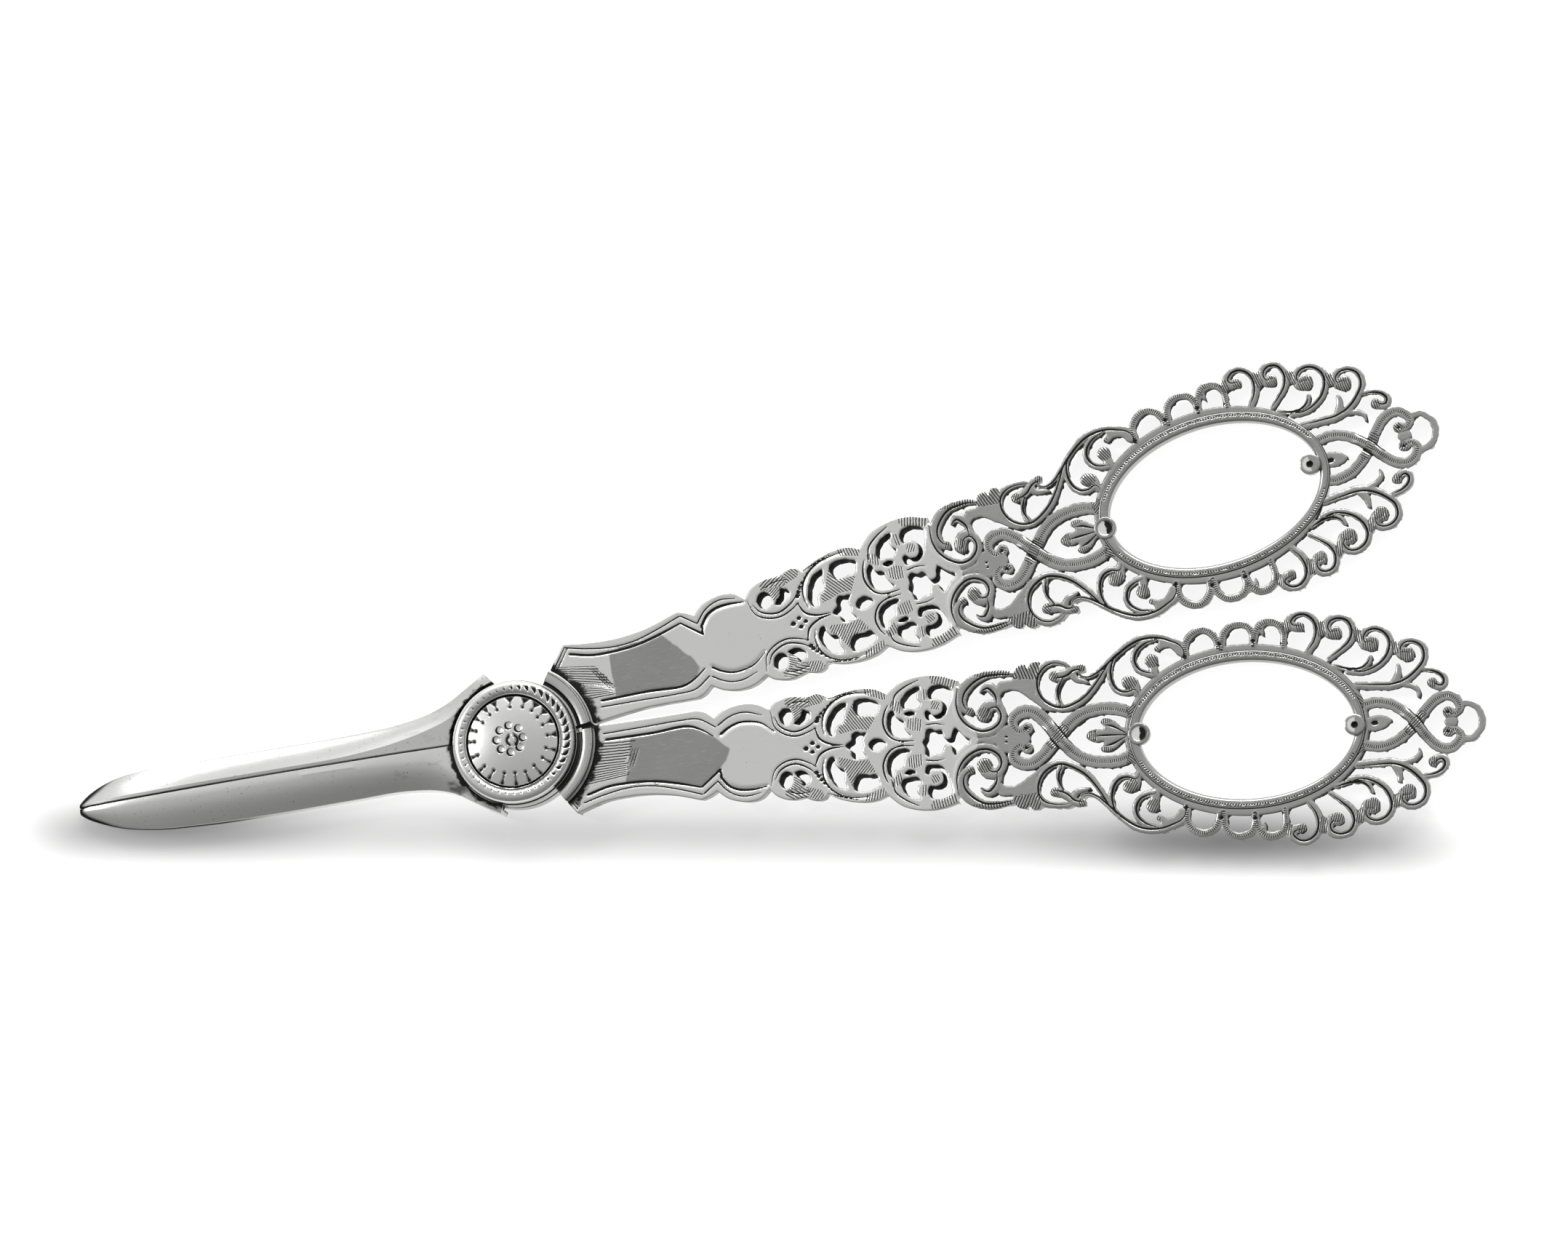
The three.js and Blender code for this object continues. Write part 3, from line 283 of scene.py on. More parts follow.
# bosses: how far along the two bosses sit. turn and pivot: how the drawing lies on the shears.
# side: 1 if v points up. corner: radius and angle of the outer corner, from the pivot.
# inset: where the inner edge starts. collar: start, slope and end of the close engraved lines.
# brush: the ends of a few strokes across them. drift: rows of u, shift, inner scale, outer scale.
handles = {
    "lower": dict(
        bosses=(77.6, 104.3), turn=-6.0, pivot=(0.0, 1.92), side=1, corner=(11.8, -55.7), inset=3.8,
        collar=[(-3.7, 0.2, 14.2), (-1.2, 0.08, 13.8), (1.45, 0.05, 14.8)], brush=((15.3, 0.7), (14.6, -1.5)),
        drift=[(58, 0, 1, 1), (64, 0, 1, 0.94), (67, 0, 1, 0.9), (70, 0, 1, 0.97), (77, 0, 1, 1)]),
    "upper": dict(
        bosses=(76.9, 103.3), turn=8.99, pivot=(-0.45, 3.9), side=-1, corner=(13.6, 58.0), inset=4.4,
        collar=[(-4.4, 0.28, 11.6), (-1.8, 0.4, 13.2), (1.2, 0.1, 13.1)], brush=((13.4, 0.9), (11.6, -2.2)),
        drift=[(30, 0, 1, 1), (38, 0.5, 0.98, 1.04), (46, 0.75, 0.94, 1.07), (52, 0.8, 0.94, 1.07),
               (56, 1, 0.94, 1.05), (60, 0.6, 0.95, 1.02), (64, 0.25, 0.96, 0.96), (67, 0.2, 0.99, 0.92),
               (71, 0.1, 1, 0.99), (76, 0, 1, 1), (92, 0, 1, 1), (100, -0.3, 1, 1), (105, -0.9, 1, 1),
               (112, -0.85, 1, 1), (120, -0.7, 1, 1)]),
}


def ease(x):
    x = np.clip(x, 0, 1)
    return x * x * (3 - 2 * x)


def drifted(handle, u, v):
    """Where the saw really went: a shift along, and a scale on each side, between the rows of a table."""
    rows = np.array(handle["drift"])
    k = np.clip(np.searchsorted(rows[:, 0], u, side="right") - 1, 0, len(rows) - 2)
    share = ease((u - rows[k, 0]) / (rows[k + 1, 0] - rows[k, 0]))
    shift, inner, outer = (rows[k, i] + share * (rows[k + 1, i] - rows[k, i]) for i in (1, 2, 3))
    return u + shift, v * np.where(v > 0, inner, outer)


def plate_top(u):
    return THICK_AT_PIVOT + (THICK_AT_TAIL - THICK_AT_PIVOT) * u / HANDLE_LENGTH


def to_row(handle, u, v, z):
    """Places of a handle's own frame, in metres in the shears' frame."""
    c, s = math.cos(math.radians(handle["turn"])), math.sin(math.radians(handle["turn"]))
    du = np.asarray(u, float) - handle["pivot"][0]
    dv = handle["side"] * (np.asarray(v, float) - handle["pivot"][1])
    return np.stack([du * c - dv * s, du * s + dv * c, np.broadcast_to(z, du.shape)], -1) * MM


for name, handle in handles.items():
    print(name, "handle ends at", to_row(handle, [HANDLE_LENGTH], [0], 0)[0].round(4))

# %% [markdown]
# ## Smooth lines through a few places
# A chaser draws a scroll with one sweep, so each line here is a short list of places with a
# smooth curve through them. The centripetal Catmull-Rom curve is the right one, because it never
# loops or overshoots between places that are close together. Every place can carry a width too.

# %% Smooth lines
def smooth_line(places, closed=False, step=0.4):
    """Points about `step` apart on a smooth curve through places given as (u, v, width)."""
    knots = np.array([(*place, 0)[:3] if len(place) < 3 else place for place in places], float)
    if closed:
        ring = np.concatenate([knots[-1:], knots, knots[:2]])
    else:
        ring = np.concatenate([2 * knots[:1] - knots[1:2], knots, 2 * knots[-1:] - knots[-2:-1]])
    out = []
    for p0, p1, p2, p3 in zip(ring[:-3], ring[1:-2], ring[2:-1], ring[3:]):
        gaps = [max(math.sqrt(math.dist(a[:2], b[:2])), 1e-3) for a, b in ((p0, p1), (p1, p2), (p2, p3))]
        t0, t1 = 0.0, gaps[0]
        t2, t3 = t1 + gaps[1], t1 + gaps[1] + gaps[2]
        count = max(2, math.ceil(math.dist(p1[:2], p2[:2]) / step))
        for t in np.linspace(t1, t2, count, endpoint=False):
            a1 = ((t1 - t) * p0 + (t - t0) * p1) / (t1 - t0)
            a2 = ((t2 - t) * p1 + (t - t1) * p2) / (t2 - t1)
            a3 = ((t3 - t) * p2 + (t - t2) * p3) / (t3 - t2)
            b1 = ((t2 - t) * a1 + (t - t0) * a2) / (t2 - t0)
            b2 = ((t3 - t) * a2 + (t - t1) * a3) / (t3 - t1)
            out.append(((t2 - t) * b1 + (t - t1) * b2) / (t2 - t1))
    if not closed:
        out.append(knots[-1])
    return np.array(out)


def mirrored(places):
    return [(place[0], -place[1], *place[2:]) for place in places]


print("points on a test curve:", len(smooth_line([(0, 0), (3, 1), (5, 4)])))

# %% [markdown]
# ## The sawn pattern
# The left part of each handle, the grip, is a solid plate with a lobed edge and small sawn holes.
# Beyond it the pattern opens up into bands that curl and end in round knobs. Plates and holes are
# given by their edges, and bands by their middle lines and widths, all on one side of the axis.

# %% Grip: edges and holes
PANEL_INNER = [(16, 4.45), (22.7, 5.25)]
PANEL_OUTER = [(23.1, -6.05), (19.8, -5.35), (16.5, -5.1), (13.5, -5.3), (11, -5.75)]
LOBES_INNER = [
    [(22.7, 5.25), (23.8, 4.95), (24.8, 4.25)],
    [(24.8, 4.25), (26.3, 5.3), (28.4, 5.85), (30.2, 5.7), (31.65, 5.05)],
]
LOBES_OUTER = [
    [(31.65, -5.05), (30.6, -6.1), (28.8, -6.5), (26.5, -6), (25.1, -5)],
    [(25.1, -5), (24.2, -5.6), (23.1, -6.05)],
]
LOBES_BOTH = [
    [(31.65, 5.05), (32.5, 5.9), (34.2, 6.5), (36.1, 6.25)],
    [(36.1, 6.25), (36.9, 6.6), (37.7, 6.75), (38.6, 6.4), (38.9, 5.95)],
    [(38.9, 5.95), (40.6, 6.7), (43, 7.15), (45, 6.95), (46.3, 6.35)],
    [(46.3, 6.35), (48.2, 7.8), (50.8, 8.45), (53.2, 8.25), (55.2, 7.6)],
    [(55.2, 7.6), (54.9, 6), (54.8, 4.4), (55.3, 2.8), (56.3, 1.55), (57.4, 0.9), (57.6, 0)],
]
HOLES = [
    [(33.98, 4.98), (33.3, 4.9), (32.87, 4.4), (32.86, 3.75), (33.15, 3.2), (33.7, 2.87), (34.3, 3.1),
     (34.57, 3.6), (34.58, 4.05), (34.4, 4.6)],
    [(35.88, 4.8), (36.26, 4.55), (36.6, 4.35), (36.7, 3.85), (36.4, 3.3), (35.85, 2.9), (35.1, 2.87),
     (34.75, 3.05), (35.1, 3.55), (35.6, 4), (35.7, 4.5)],
    [(41.25, 5.35), (40.2, 5.1), (39.3, 4.2), (38.8, 3), (38.75, 2.1), (39.2, 1.35), (39.65, 1.3),
     (39.8, 2), (40.1, 2.6), (40.8, 2.85), (41, 3.4), (40.9, 4.2)],
    [(42.2, 5.5), (43.2, 5.8), (44.3, 5.6), (45.3, 5.05), (45.15, 4.2), (44.9, 3.7), (44.1, 3.75),
     (43.2, 3.6), (42.5, 3.8), (42.1, 4.6)],
    [(46.9, 4.15), (46.45, 3.8), (46.25, 3), (46.35, 1.9), (46.9, 1.15), (47.8, 0.7), (48.7, 0.65),
     (49.2, 0.95), (48.7, 1.4), (48.4, 2.1), (48.4, 2.7), (47.9, 3.05), (47.3, 3.25), (47.2, 3.8)],
    [(48.4, 3.7), (49, 3.95), (49.8, 3.75), (49.6, 3.38), (48.9, 3.36)],
    [(50.35, 7), (49.2, 6.7), (48.3, 5.9), (47.95, 5), (48.25, 4.4), (49, 4.3), (49.8, 4.2),
     (50.3, 4.5), (50.5, 4.95), (50.05, 5.4), (50, 6.2), (50.35, 6.6)],
    [(51.35, 5.7), (51.4, 6.4), (51.9, 6.95), (52.8, 7.1), (53.8, 6.8), (54.3, 6.3), (54.15, 5.2),
     (53.85, 4.2), (53.4, 3.3), (52.8, 2.9), (52.1, 2.8), (51.4, 2.75), (51.05, 3.2), (51, 3.8),
     (51.3, 4), (51.6, 3.8), (51.9, 3.45), (52.6, 3.4), (53.15, 3.9), (53.25, 4.6), (53, 5.2),
     (52.2, 5.45), (51.6, 5.4)],
]
AXIS_HOLES = [
    [(41.05, 0), (41.8, 0.6), (41.9, 1.4), (42.4, 1.7), (43, 1.5), (43.7, 1.5), (43.4, 1.1),
     (43.2, 0.6), (43.35, 0)],
    [(43.9, 0), (44.3, 0.55), (45, 0.8), (45.6, 0.6), (46.15, 0)],
    [(50.7, 0), (51, 0.6), (51.1, 1.5), (51.6, 1.75), (52.2, 1.45), (53, 1.5), (53.25, 0.9),
     (53.4, 0.45), (53.8, 0.3), (54.2, 0.45), (54.4, 1.1), (54.7, 1.7), (55.2, 1.25), (55.8, 0.65),
     (56.5, 0.25), (56.7, 0)],
]
print("holes in the grip:", 2 * len(HOLES) + len(AXIS_HOLES))

# %% [markdown]
# In the bow the plate is nothing but bands. Each band is a row of places on its middle line, and
# the third number is its width there, so a stem swells and tapers as the sawn ones do. One side
# is drawn, apart from the pieces on the axis, and the long straps run across it.

# %% Bow: leaves and scroll bands
PATCHES = [
    [(61.9, 8.4), (62.1, 8.35), (62.4, 8.85), (62.9, 9.2), (63.5, 9.2), (63.85, 8.8), (64.2, 9.35),
     (64.8, 9.65), (65.3, 9.35), (65.4, 8.6), (64.9, 7.4), (64.7, 6), (65.1, 4.9), (66.2, 3.9),
     (67.2, 3.3), (66.2, 3.35), (65.1, 4.05), (63.9, 4.95), (62.7, 5.8), (61.7, 6.05), (60.7, 5.8),
     (60.3, 5.3), (59.9, 6.2), (60.2, 7.1), (61.9, 7.4)],
    [(80.1, 11.7), (80.1, 10.95), (79.7, 10.75), (79.6, 10.3), (80, 10.1), (80.6, 10.45),
     (81.3, 10.55), (82, 10.15), (82.5, 9.5), (83.3, 9.4), (83.4, 11.1), (81.8, 11.7)],
]
PALMETTE = [(71, 0), (71.4, 0.55), (72.2, 0.85), (73.1, 0.75), (73.15, 1.25), (72.8, 1.55),
            (72.95, 2.05), (73.8, 2.1), (74.7, 1.65), (75.4, 1), (76.1, 0.6), (76.5, 0.5), (76.5, 0)]
SCROLLS = [
    [(62, 8.05, 0.6), (60, 8.2, 0.95), (58.2, 8, 1.15), (56.7, 7.2, 1.5), (55.7, 6, 1.5),
     (55.5, 4.8, 1.4), (56, 3.9, 1), (56.6, 3.6, 1.05)],
    [(54.9, 6.4, 0.9), (54.75, 4.6, 0.9), (55.2, 2.9, 1.2), (56.2, 1.7, 1.3), (57.8, 0.95, 1.2),
     (59.3, 1.1, 1.2), (60.4, 2, 1.1), (60.65, 3.2, 1.1), (60, 4.2, 1.3), (58.9, 4.1, 1.6),
     (58.35, 3.15, 1.9)],
    [(60.1, 4.4, 1.2), (60, 5.3, 0.9), (59.6, 6.1, 1.3), (58.9, 6.6, 1.1), (58.2, 6.3, 0.6),
     (57.95, 5.95, 0.3)],
    [(69, 8.75, 0.6), (68.2, 9.15, 0.8), (67, 9.35, 0.9), (65.8, 8.85, 0.9), (65, 7.7, 0.8),
     (64.9, 6.2, 0.8), (65.5, 4.8, 0.85), (66.7, 3.85, 0.9), (68.1, 3.5, 0.9), (69.7, 3.95, 0.95),
     (71.1, 4.9, 0.9), (72.3, 6.3, 0.85), (73.3, 7.8, 0.75), (74.2, 9.2, 0.7), (75.2, 10.2, 0.6)],
    [(70.5, 8.5, 1.1), (69.4, 8.35, 1.1), (68.6, 7.8, 1.3), (67.8, 7.6, 1.3), (67.1, 7.55, 1.3)],
    [(68.1, 7.3, 0.6), (67.5, 6, 0.45), (67.5, 5, 0.6), (67.8, 4, 0.9)],
    [(69.2, 8, 0.9), (69.8, 7.1, 0.8), (70.8, 6.8, 0.6), (71.4, 6.6, 0.3)],
    [(70.4, 8.2, 0.5), (70.4, 7.65, 0.5), (71.2, 7.35, 0.55), (72.3, 7.8, 0.55), (73.3, 8.6, 0.6),
     (74.3, 9.5, 0.7), (75.3, 10.35, 0.8), (76.4, 11.15, 0.9), (77.6, 11.75, 0.95), (79, 12, 0.95),
     (80.4, 11.9, 0.9), (81.6, 11.5, 0.9), (82.7, 11, 0.95), (83.35, 10.2, 0.95), (83.45, 9.2, 1)],
    [(75, 10.2, 0.7), (74.3, 9.2, 0.7), (74, 7.8, 0.75), (74.3, 6.3, 0.75), (75.1, 5.35, 0.8),
     (76.2, 5.15, 0.8), (77.1, 5.4, 0.9), (77.4, 5, 1)],
    [(77.2, 5.5, 1.2), (77, 6.4, 1.2), (76.3, 6.5, 1.65)],
    [(79.6, 11.7, 0.7), (78.2, 11.2, 0.75), (77.2, 10.2, 0.75), (77, 9, 0.75), (77.6, 7.9, 0.8),
     (78.6, 7.45, 0.85), (79.4, 7.3, 1)],
    [(79.5, 7.4, 1.2), (79.4, 8.4, 1.2), (79.2, 9, 1.7)],
    [(98.6, 9.3, 0.9), (99.5, 10.6, 1), (99.8, 12, 0.95), (99.4, 13.3, 0.9), (98.3, 14.1, 0.9),
     (97.1, 14, 0.9), (96.3, 13.2, 1.2), (96.6, 12.6, 1.2), (97.6, 12.4, 1.2)],
    [(101.2, 8.3, 0.7), (102.6, 9.3, 0.8), (103.8, 10.4, 0.95), (104.2, 11.8, 0.95),
     (103.6, 13.1, 0.95), (102.3, 13.5, 0.95), (101.2, 13.1, 1.1), (100.9, 12.2, 1.1),
     (101.3, 11.5, 1.3), (102, 11.5, 1.7)],
    [(103.6, 6.7, 0.9), (105.2, 6.5, 0.8), (106.6, 6.9, 0.8), (107.9, 7.8, 0.85), (108.7, 9.1, 0.9),
     (108.8, 10.4, 0.9), (108.1, 11.5, 0.9), (106.9, 12, 0.9), (105.8, 11.7, 0.9), (105.3, 10.9, 1),
     (105.5, 10.1, 1.3), (106.3, 10, 2.1)],
    [(101.8, 7.4, 0.7), (103.6, 6.95, 0.5), (105.1, 7, 0.5), (106, 7.6, 0.7), (106.3, 8.3, 0.6)],
    [(104.6, 4.9, 1), (107, 4.75, 1.1), (109, 4.75, 1.1), (110.6, 5.3, 1), (112, 6.4, 0.95),
     (113, 7.8, 0.9), (112.9, 9.3, 0.9), (111.9, 10.15, 0.9), (110.7, 10.2, 0.9), (109.9, 9.6, 1),
     (109.9, 8.8, 1.1), (110.8, 8.5, 2)],
    [(110.4, 4.8, 0.7), (111.6, 4.5, 0.7), (112.2, 3.9, 0.6), (112.2, 3.2, 0.3)],
    [(109.2, 5, 1.2), (109.7, 6.2, 0.9), (109.7, 7.1, 0.6)],
    [(112.9, 6.6, 0.7), (114.1, 6.45, 0.75), (115.1, 5.9, 0.8), (115.5, 5.1, 0.85), (115.1, 4.4, 1),
     (114.4, 4.5, 1), (113.9, 4.9, 1.3)],
]
SCALLOPS = [
    [(83.4, 9.2, 1), (83.4, 10.9, 1), (84.2, 12.1, 1), (85.5, 12.6, 1), (86.8, 12, 1), (87.4, 10.9, 1),
     (87.5, 10.1, 1)],
    [(87.9, 10.1, 1), (88.1, 11.9, 1), (89, 12.9, 0.95), (90, 13.1, 0.95), (91.2, 12.75, 0.95),
     (91.8, 11.7, 1), (91.8, 10.4, 1)],
    [(91.9, 10.4, 0.8), (92.2, 12.2, 1), (93, 13.1, 1.1), (93.9, 13.3, 1.1), (95, 12.9, 1),
     (95.6, 11.8, 0.9), (95.5, 10, 0.9)],
    [(92.8, 12.6, 0.9), (93, 11.6, 0.25)],
]
WEBS = [
    [(95.9, 12.9, 0.7), (96, 12.2, 0.7)], [(100.2, 12.7, 0.9), (100.3, 11.5, 0.7)],
    [(104.7, 11.6, 0.9), (104.9, 10.5, 0.6)], [(109.3, 9.9, 0.8), (109.4, 8.9, 0.6)],
]
STRAPS = [
    [(63.7, 1.25, 1.5), (62.8, 0.95, 1), (62.05, 1.5, 1.1), (62, 2.5, 1.4), (62.9, 3.25, 1.6),
     (64.3, 3.3, 1.65), (65.6, 2.4, 1.65), (66.6, 1.2, 1.65), (67.5, 0, 1.65), (68.6, -1.3, 1.65),
     (70, -2.5, 1.6), (71.6, -3.15, 1.6), (73.4, -3.35, 1.6), (75.2, -3.15, 1.6), (76.8, -2.5, 1.5)],
    [(104.9, 2.3, 1.3), (107, 2.75, 1.35), (108.9, 2.35, 1.35), (110.5, 1.3, 1.35), (111.8, 0, 1.35),
     (113.1, -1.7, 1.35), (114.4, -2.9, 1.35), (115.8, -3.3, 1.35), (116.9, -2.7, 1.3),
     (117.3, -1.7, 1.1), (116.7, -1, 0.9), (115.8, -1.2, 1.4)],
]
CROSSINGS = [67.5, 111.8]
AXIS_BANDS = [
    [(56.8, 0, 0.6), (58.6, 0, 0.8), (60.4, 0, 1.8), (61.6, 0, 3.6), (62.6, 0, 2.8), (63.4, 0, 1.4)],
    [(105, 0, 1), (105.9, 0.05, 1.5), (106.8, 0.15, 2), (107.8, 0.3, 1.5), (108.8, 0.5, 0.3)],
    [(115.9, 0, 1.1), (116.5, 0, 1.1)],
    [(117.3, 2.2, 0.9), (118.7, 2.15, 0.85), (119.7, 1.2, 0.85), (120, 0, 0.9), (119.7, -1.2, 0.85),
     (118.7, -2.15, 0.85), (117.3, -2.2, 0.9)],
]
print("bands on one side:", len(SCROLLS) + len(SCALLOPS) + len(STRAPS))

# %% [markdown]
# ## Distance maps
# A distance map stores, at each node of a fine grid, how far away an edge is, with a minus sign
# inside. Two maps join by taking the smaller number and cut each other by taking the larger one,
# so scrolls melt into each other as sawn metal does, with none of the trouble that joining
# hundreds of meshes would bring. numpy works out a whole window of the grid at once.

# %% Grid and distances
CELL = 0.14
REACH = 2.2
grid_u = np.arange(-2.0, 122.5, CELL)
grid_v = np.arange(-16.4, 16.4, CELL)
U, V = np.meshgrid(grid_u, grid_v, indexing="ij")


def window(points, reach=REACH):
    """The part of the grid within reach of some points."""
    low, high = points[:, :2].min(0) - reach, points[:, :2].max(0) + reach
    first = np.maximum(np.floor((low - (grid_u[0], grid_v[0])) / CELL), 0).astype(int)
    last = np.ceil((high - (grid_u[0], grid_v[0])) / CELL).astype(int) + 1
    return slice(first[0], last[0]), slice(first[1], last[1])


def line_distance(points, where):
    """Distance to a band's edge, how far along it, and how far to its left, in a window."""
    a, b = points[:-1], points[1:]
    step = b - a
    length = np.maximum(np.hypot(step[:, 0], step[:, 1]), 1e-6)
    start = np.concatenate([[0], np.cumsum(length)[:-1]])
    edge, along, left = (np.empty(U[where].shape) for _ in range(3))
    for row in range(0, edge.shape[0], 64):
        part = slice(row, row + 64)
        du = U[where][part][..., None] - a[:, 0]
        dv = V[where][part][..., None] - a[:, 1]
        share = np.clip((du * step[:, 0] + dv * step[:, 1]) / length**2, 0, 1)
        off = np.hypot(du - share * step[:, 0], dv - share * step[:, 1])
        inside = off - (a[:, 2] + share * step[:, 2]) / 2
        best = inside.argmin(-1)[..., None]
        side = np.sign(step[:, 0] * dv - step[:, 1] * du)
        edge[part] = np.take_along_axis(inside, best, -1)[..., 0]
        along[part] = np.take_along_axis(start + share * length, best, -1)[..., 0]
        left[part] = np.take_along_axis(side * off, best, -1)[..., 0]
    return edge, along, left


def loop_distance(points, where):
    """Distance to a closed edge, minus inside."""
    closed = np.concatenate([points, points[:1]])
    edge, _, _ = line_distance(np.column_stack([closed[:, :2], np.zeros(len(closed))]), where)
    u, v = U[where], V[where]
    inside = np.zeros(u.shape, bool)
    for (u0, v0), (u1, v1) in zip(closed[:-1, :2], closed[1:, :2]):
        if v0 == v1:
            continue
        crosses = ((v0 > v) != (v1 > v)) & (u < u0 + (u1 - u0) * (v - v0) / (v1 - v0))
        inside ^= crosses
    return np.where(inside, -edge, edge)


print("grid nodes:", U.size)

# %% [markdown]
# ## The solid silver
# The map of one handle starts with the grip's edge, loses the sawn holes, gains every band and
# leaf, and at last loses the oval for the finger ring and the arc that fits the bolster.

# %% Solid map
BOW_CENTRE = 90.9
OPENING = np.array([13.3, 8.45])
SEAT = OPENING + 1.25
FLANGE = np.array([15.15, 10.65])


def ellipse_value(half_u, half_v):
    """About a distance from an oval round the middle of the bow."""
    return (np.hypot((U - BOW_CENTRE) / half_u, V / half_v) - 1) * min(half_u, half_v)


def keep_less(field, where, value):
    field[where] = np.minimum(field[where], value)


def keep_more(field, where, value):
    field[where] = np.maximum(field[where], value)


def both_sides(tables):
    return [side for places in tables for side in (places, mirrored(places))]


def symmetric_loop(places):
    return smooth_line([*places, *mirrored(places[1:-1])[::-1]], closed=True)


def corner_reach(handle):
    """The way from the pivot to the plate's outer corner, in the handle's frame."""
    corner_radius, corner_angle = handle["corner"]
    turn = handle["side"] * math.radians(corner_angle - handle["turn"])
    return corner_radius, np.array([math.cos(turn), math.sin(turn)])


def grip_edge(handle):
    corner_radius, reach = corner_reach(handle)
    corner = np.array(handle["pivot"]) + corner_radius * reach
    root = np.array(handle["pivot"]) + 0.9 * BOLSTER_RADIUS * reach
    runs = [[(BOLSTER_RADIUS, handle["inset"]), *PANEL_INNER], *LOBES_INNER, *LOBES_BOTH]
    runs += [mirrored(lobe)[::-1] for lobe in LOBES_BOTH[::-1]]
    runs += [*LOBES_OUTER, [*PANEL_OUTER, tuple(corner)]]
    points = [smooth_line(run)[:-1, :2] for run in runs]
    return np.concatenate([*points, [corner, root]])


def pierced_bands():
    """Distance maps of all the bands, as (kind, window, edge, along, left, turning)."""
    out = []
    kinds = (("scroll", SCROLLS), ("scallop", SCALLOPS), ("web", WEBS), ("strap", STRAPS))
    tables = [(kind, side) for kind, rows in kinds for side in both_sides(rows)]
    tables += [("axis", places) for places in AXIS_BANDS]
    for kind, places in tables:
        line = smooth_line(places)
        where = window(line)
        step = np.diff(line[:, :2], axis=0)
        turning = np.sign((step[:-1, 0] * step[1:, 1] - step[:-1, 1] * step[1:, 0]).sum())
        out.append((kind, line, where, *line_distance(line, where), turning))
    return out


bands = pierced_bands()
hole_maps = [smooth_line(places, closed=True) for places in both_sides(HOLES)]
hole_maps += [symmetric_loop(places) for places in AXIS_HOLES]
hole_maps = [(window(loop), loop_distance(loop, window(loop))) for loop in hole_maps]
patch_maps = [smooth_line(places, closed=True) for places in both_sides(PATCHES)]
patch_maps += [symmetric_loop(PALMETTE)]
patch_maps = [(window(loop), loop_distance(loop, window(loop))) for loop in patch_maps]


def saw_wobble(size):
    """A small unevenness, as a hand-held saw leaves it."""
    return size * np.sin(4.1 * U + 1.7 * np.sin(2.3 * V)) * np.sin(3.7 * V + 1.9 * np.sin(1.9 * U))


def solid_map(handle):
    edge = grip_edge(handle)
    where = window(edge)
    grip = np.full(U.shape, 9.0)
    grip[where] = loop_distance(edge, where)
    solid = grip.copy()
    for where, value in hole_maps:
        keep_more(solid, where, -value)
    for _, _, where, value, *_ in bands:
        keep_less(solid, where, value)
    for where, value in patch_maps:
        keep_less(solid, where, value)
    filed = 1 - ease((-grip - 0.4) / 0.4) - ease(grip / 0.4)
    solid = np.minimum(solid + saw_wobble(0.045) * (1 - filed), ellipse_value(*FLANGE))
    solid = np.maximum(solid, -ellipse_value(*SEAT))
    arc = np.hypot(U - handle["pivot"][0], V - handle["pivot"][1]) - BOLSTER_RADIUS
    return np.maximum(solid, SOLDER_GAP - arc), grip, arc


def spread(region):
    """A region grown by one node on each side."""
    grown = region.copy()
    grown[1:] |= region[:-1]
    grown[:-1] |= region[1:]
    grown[:, 1:] |= region[:, :-1]
    grown[:, :-1] |= region[:, 1:]
    return grown


def hole_map(solid, reach=12):
    """1 where the nearest edge is a hole's, 0 where it is the outline."""
    air = solid > 0
    outside = np.zeros(solid.shape, bool)
    outside[[0, -1]] = outside[:, [0, -1]] = True
    while True:
        grown = spread(outside) & air
        if grown.sum() == outside.sum():
            break
        outside = grown
    inner, outer = air & ~outside, outside
    for _ in range(reach):
        inner, outer = inner | (spread(inner) & ~outer), outer | (spread(outer) & ~inner)
    return inner.astype(float)


for handle in handles.values():
    handle["solid"], handle["grip"], handle["arc"] = solid_map(handle)
    handle["hole"] = hole_map(handle["solid"])
    print("silver seen from above:", round((handle["solid"] < 0).sum() * CELL**2), "mm2")

# %% [markdown]
# ## Engraved lines
# An engraver's cut is a V that swells and fades, so each cut is a row of places with widths, like
# the bands. Those beside the axis are drawn once and mirrored. The two edges of the grip have cuts
# of their own, a deep one with a fine one next to it.

# %% Cuts and dots
DEEP, FINE = 0.36, 0.17
SIDE_CUTS = [
    [(32.3, 3.9, 0.05), (33, 2.7, 0.2), (34.8, 2.0, 0.24), (36.5, 2.6, 0.2), (37.3, 3.2, 0.1)],
    [(31.8, 4.6, 0.05), (32.3, 2.7, 0.14), (33.5, 1.75, 0.2), (35, 1.45, 0.22), (36.5, 1.9, 0.16),
     (37.4, 2.4, 0.1)],
    [(37.3, 2.4, 0.12), (37.9, 1, 0.28), (39.2, 0.3, 0.28), (40.8, 0.1, 0.1)],
    [(38.4, 1.6, 0.05), (38.2, 2.8, 0.14), (38.5, 4.2, 0.2), (39.4, 5.4, 0.2), (40.8, 6.2, 0.16),
     (42.5, 6.5, 0.12), (44, 6.5, 0.05)],
    [(48.2, 0.12, 0.1), (46.6, 0.9, 0.24), (45.8, 2.5, 0.26), (46, 4, 0.2), (46.4, 4.8, 0.1)],
    [(47, 4.8, 0.1), (47.3, 6, 0.2), (48.5, 7, 0.2), (50.2, 7.8, 0.08)],
    [(34, 5.4, 0.1), (35.2, 5.7, 0.14), (36.6, 5.6, 0.05)],
    [(39, 5.9, 0.1), (40.6, 6.35, 0.12), (42.6, 6.8, 0.05)],
    [(49.6, 0.3, 0.1), (48, 0.32, 0.2), (47.2, 0.55, 0.1)],
    [(51.2, 2.2, 0.16), (52.4, 2.3, 0.14), (53.4, 2.1, 0.05)],
]
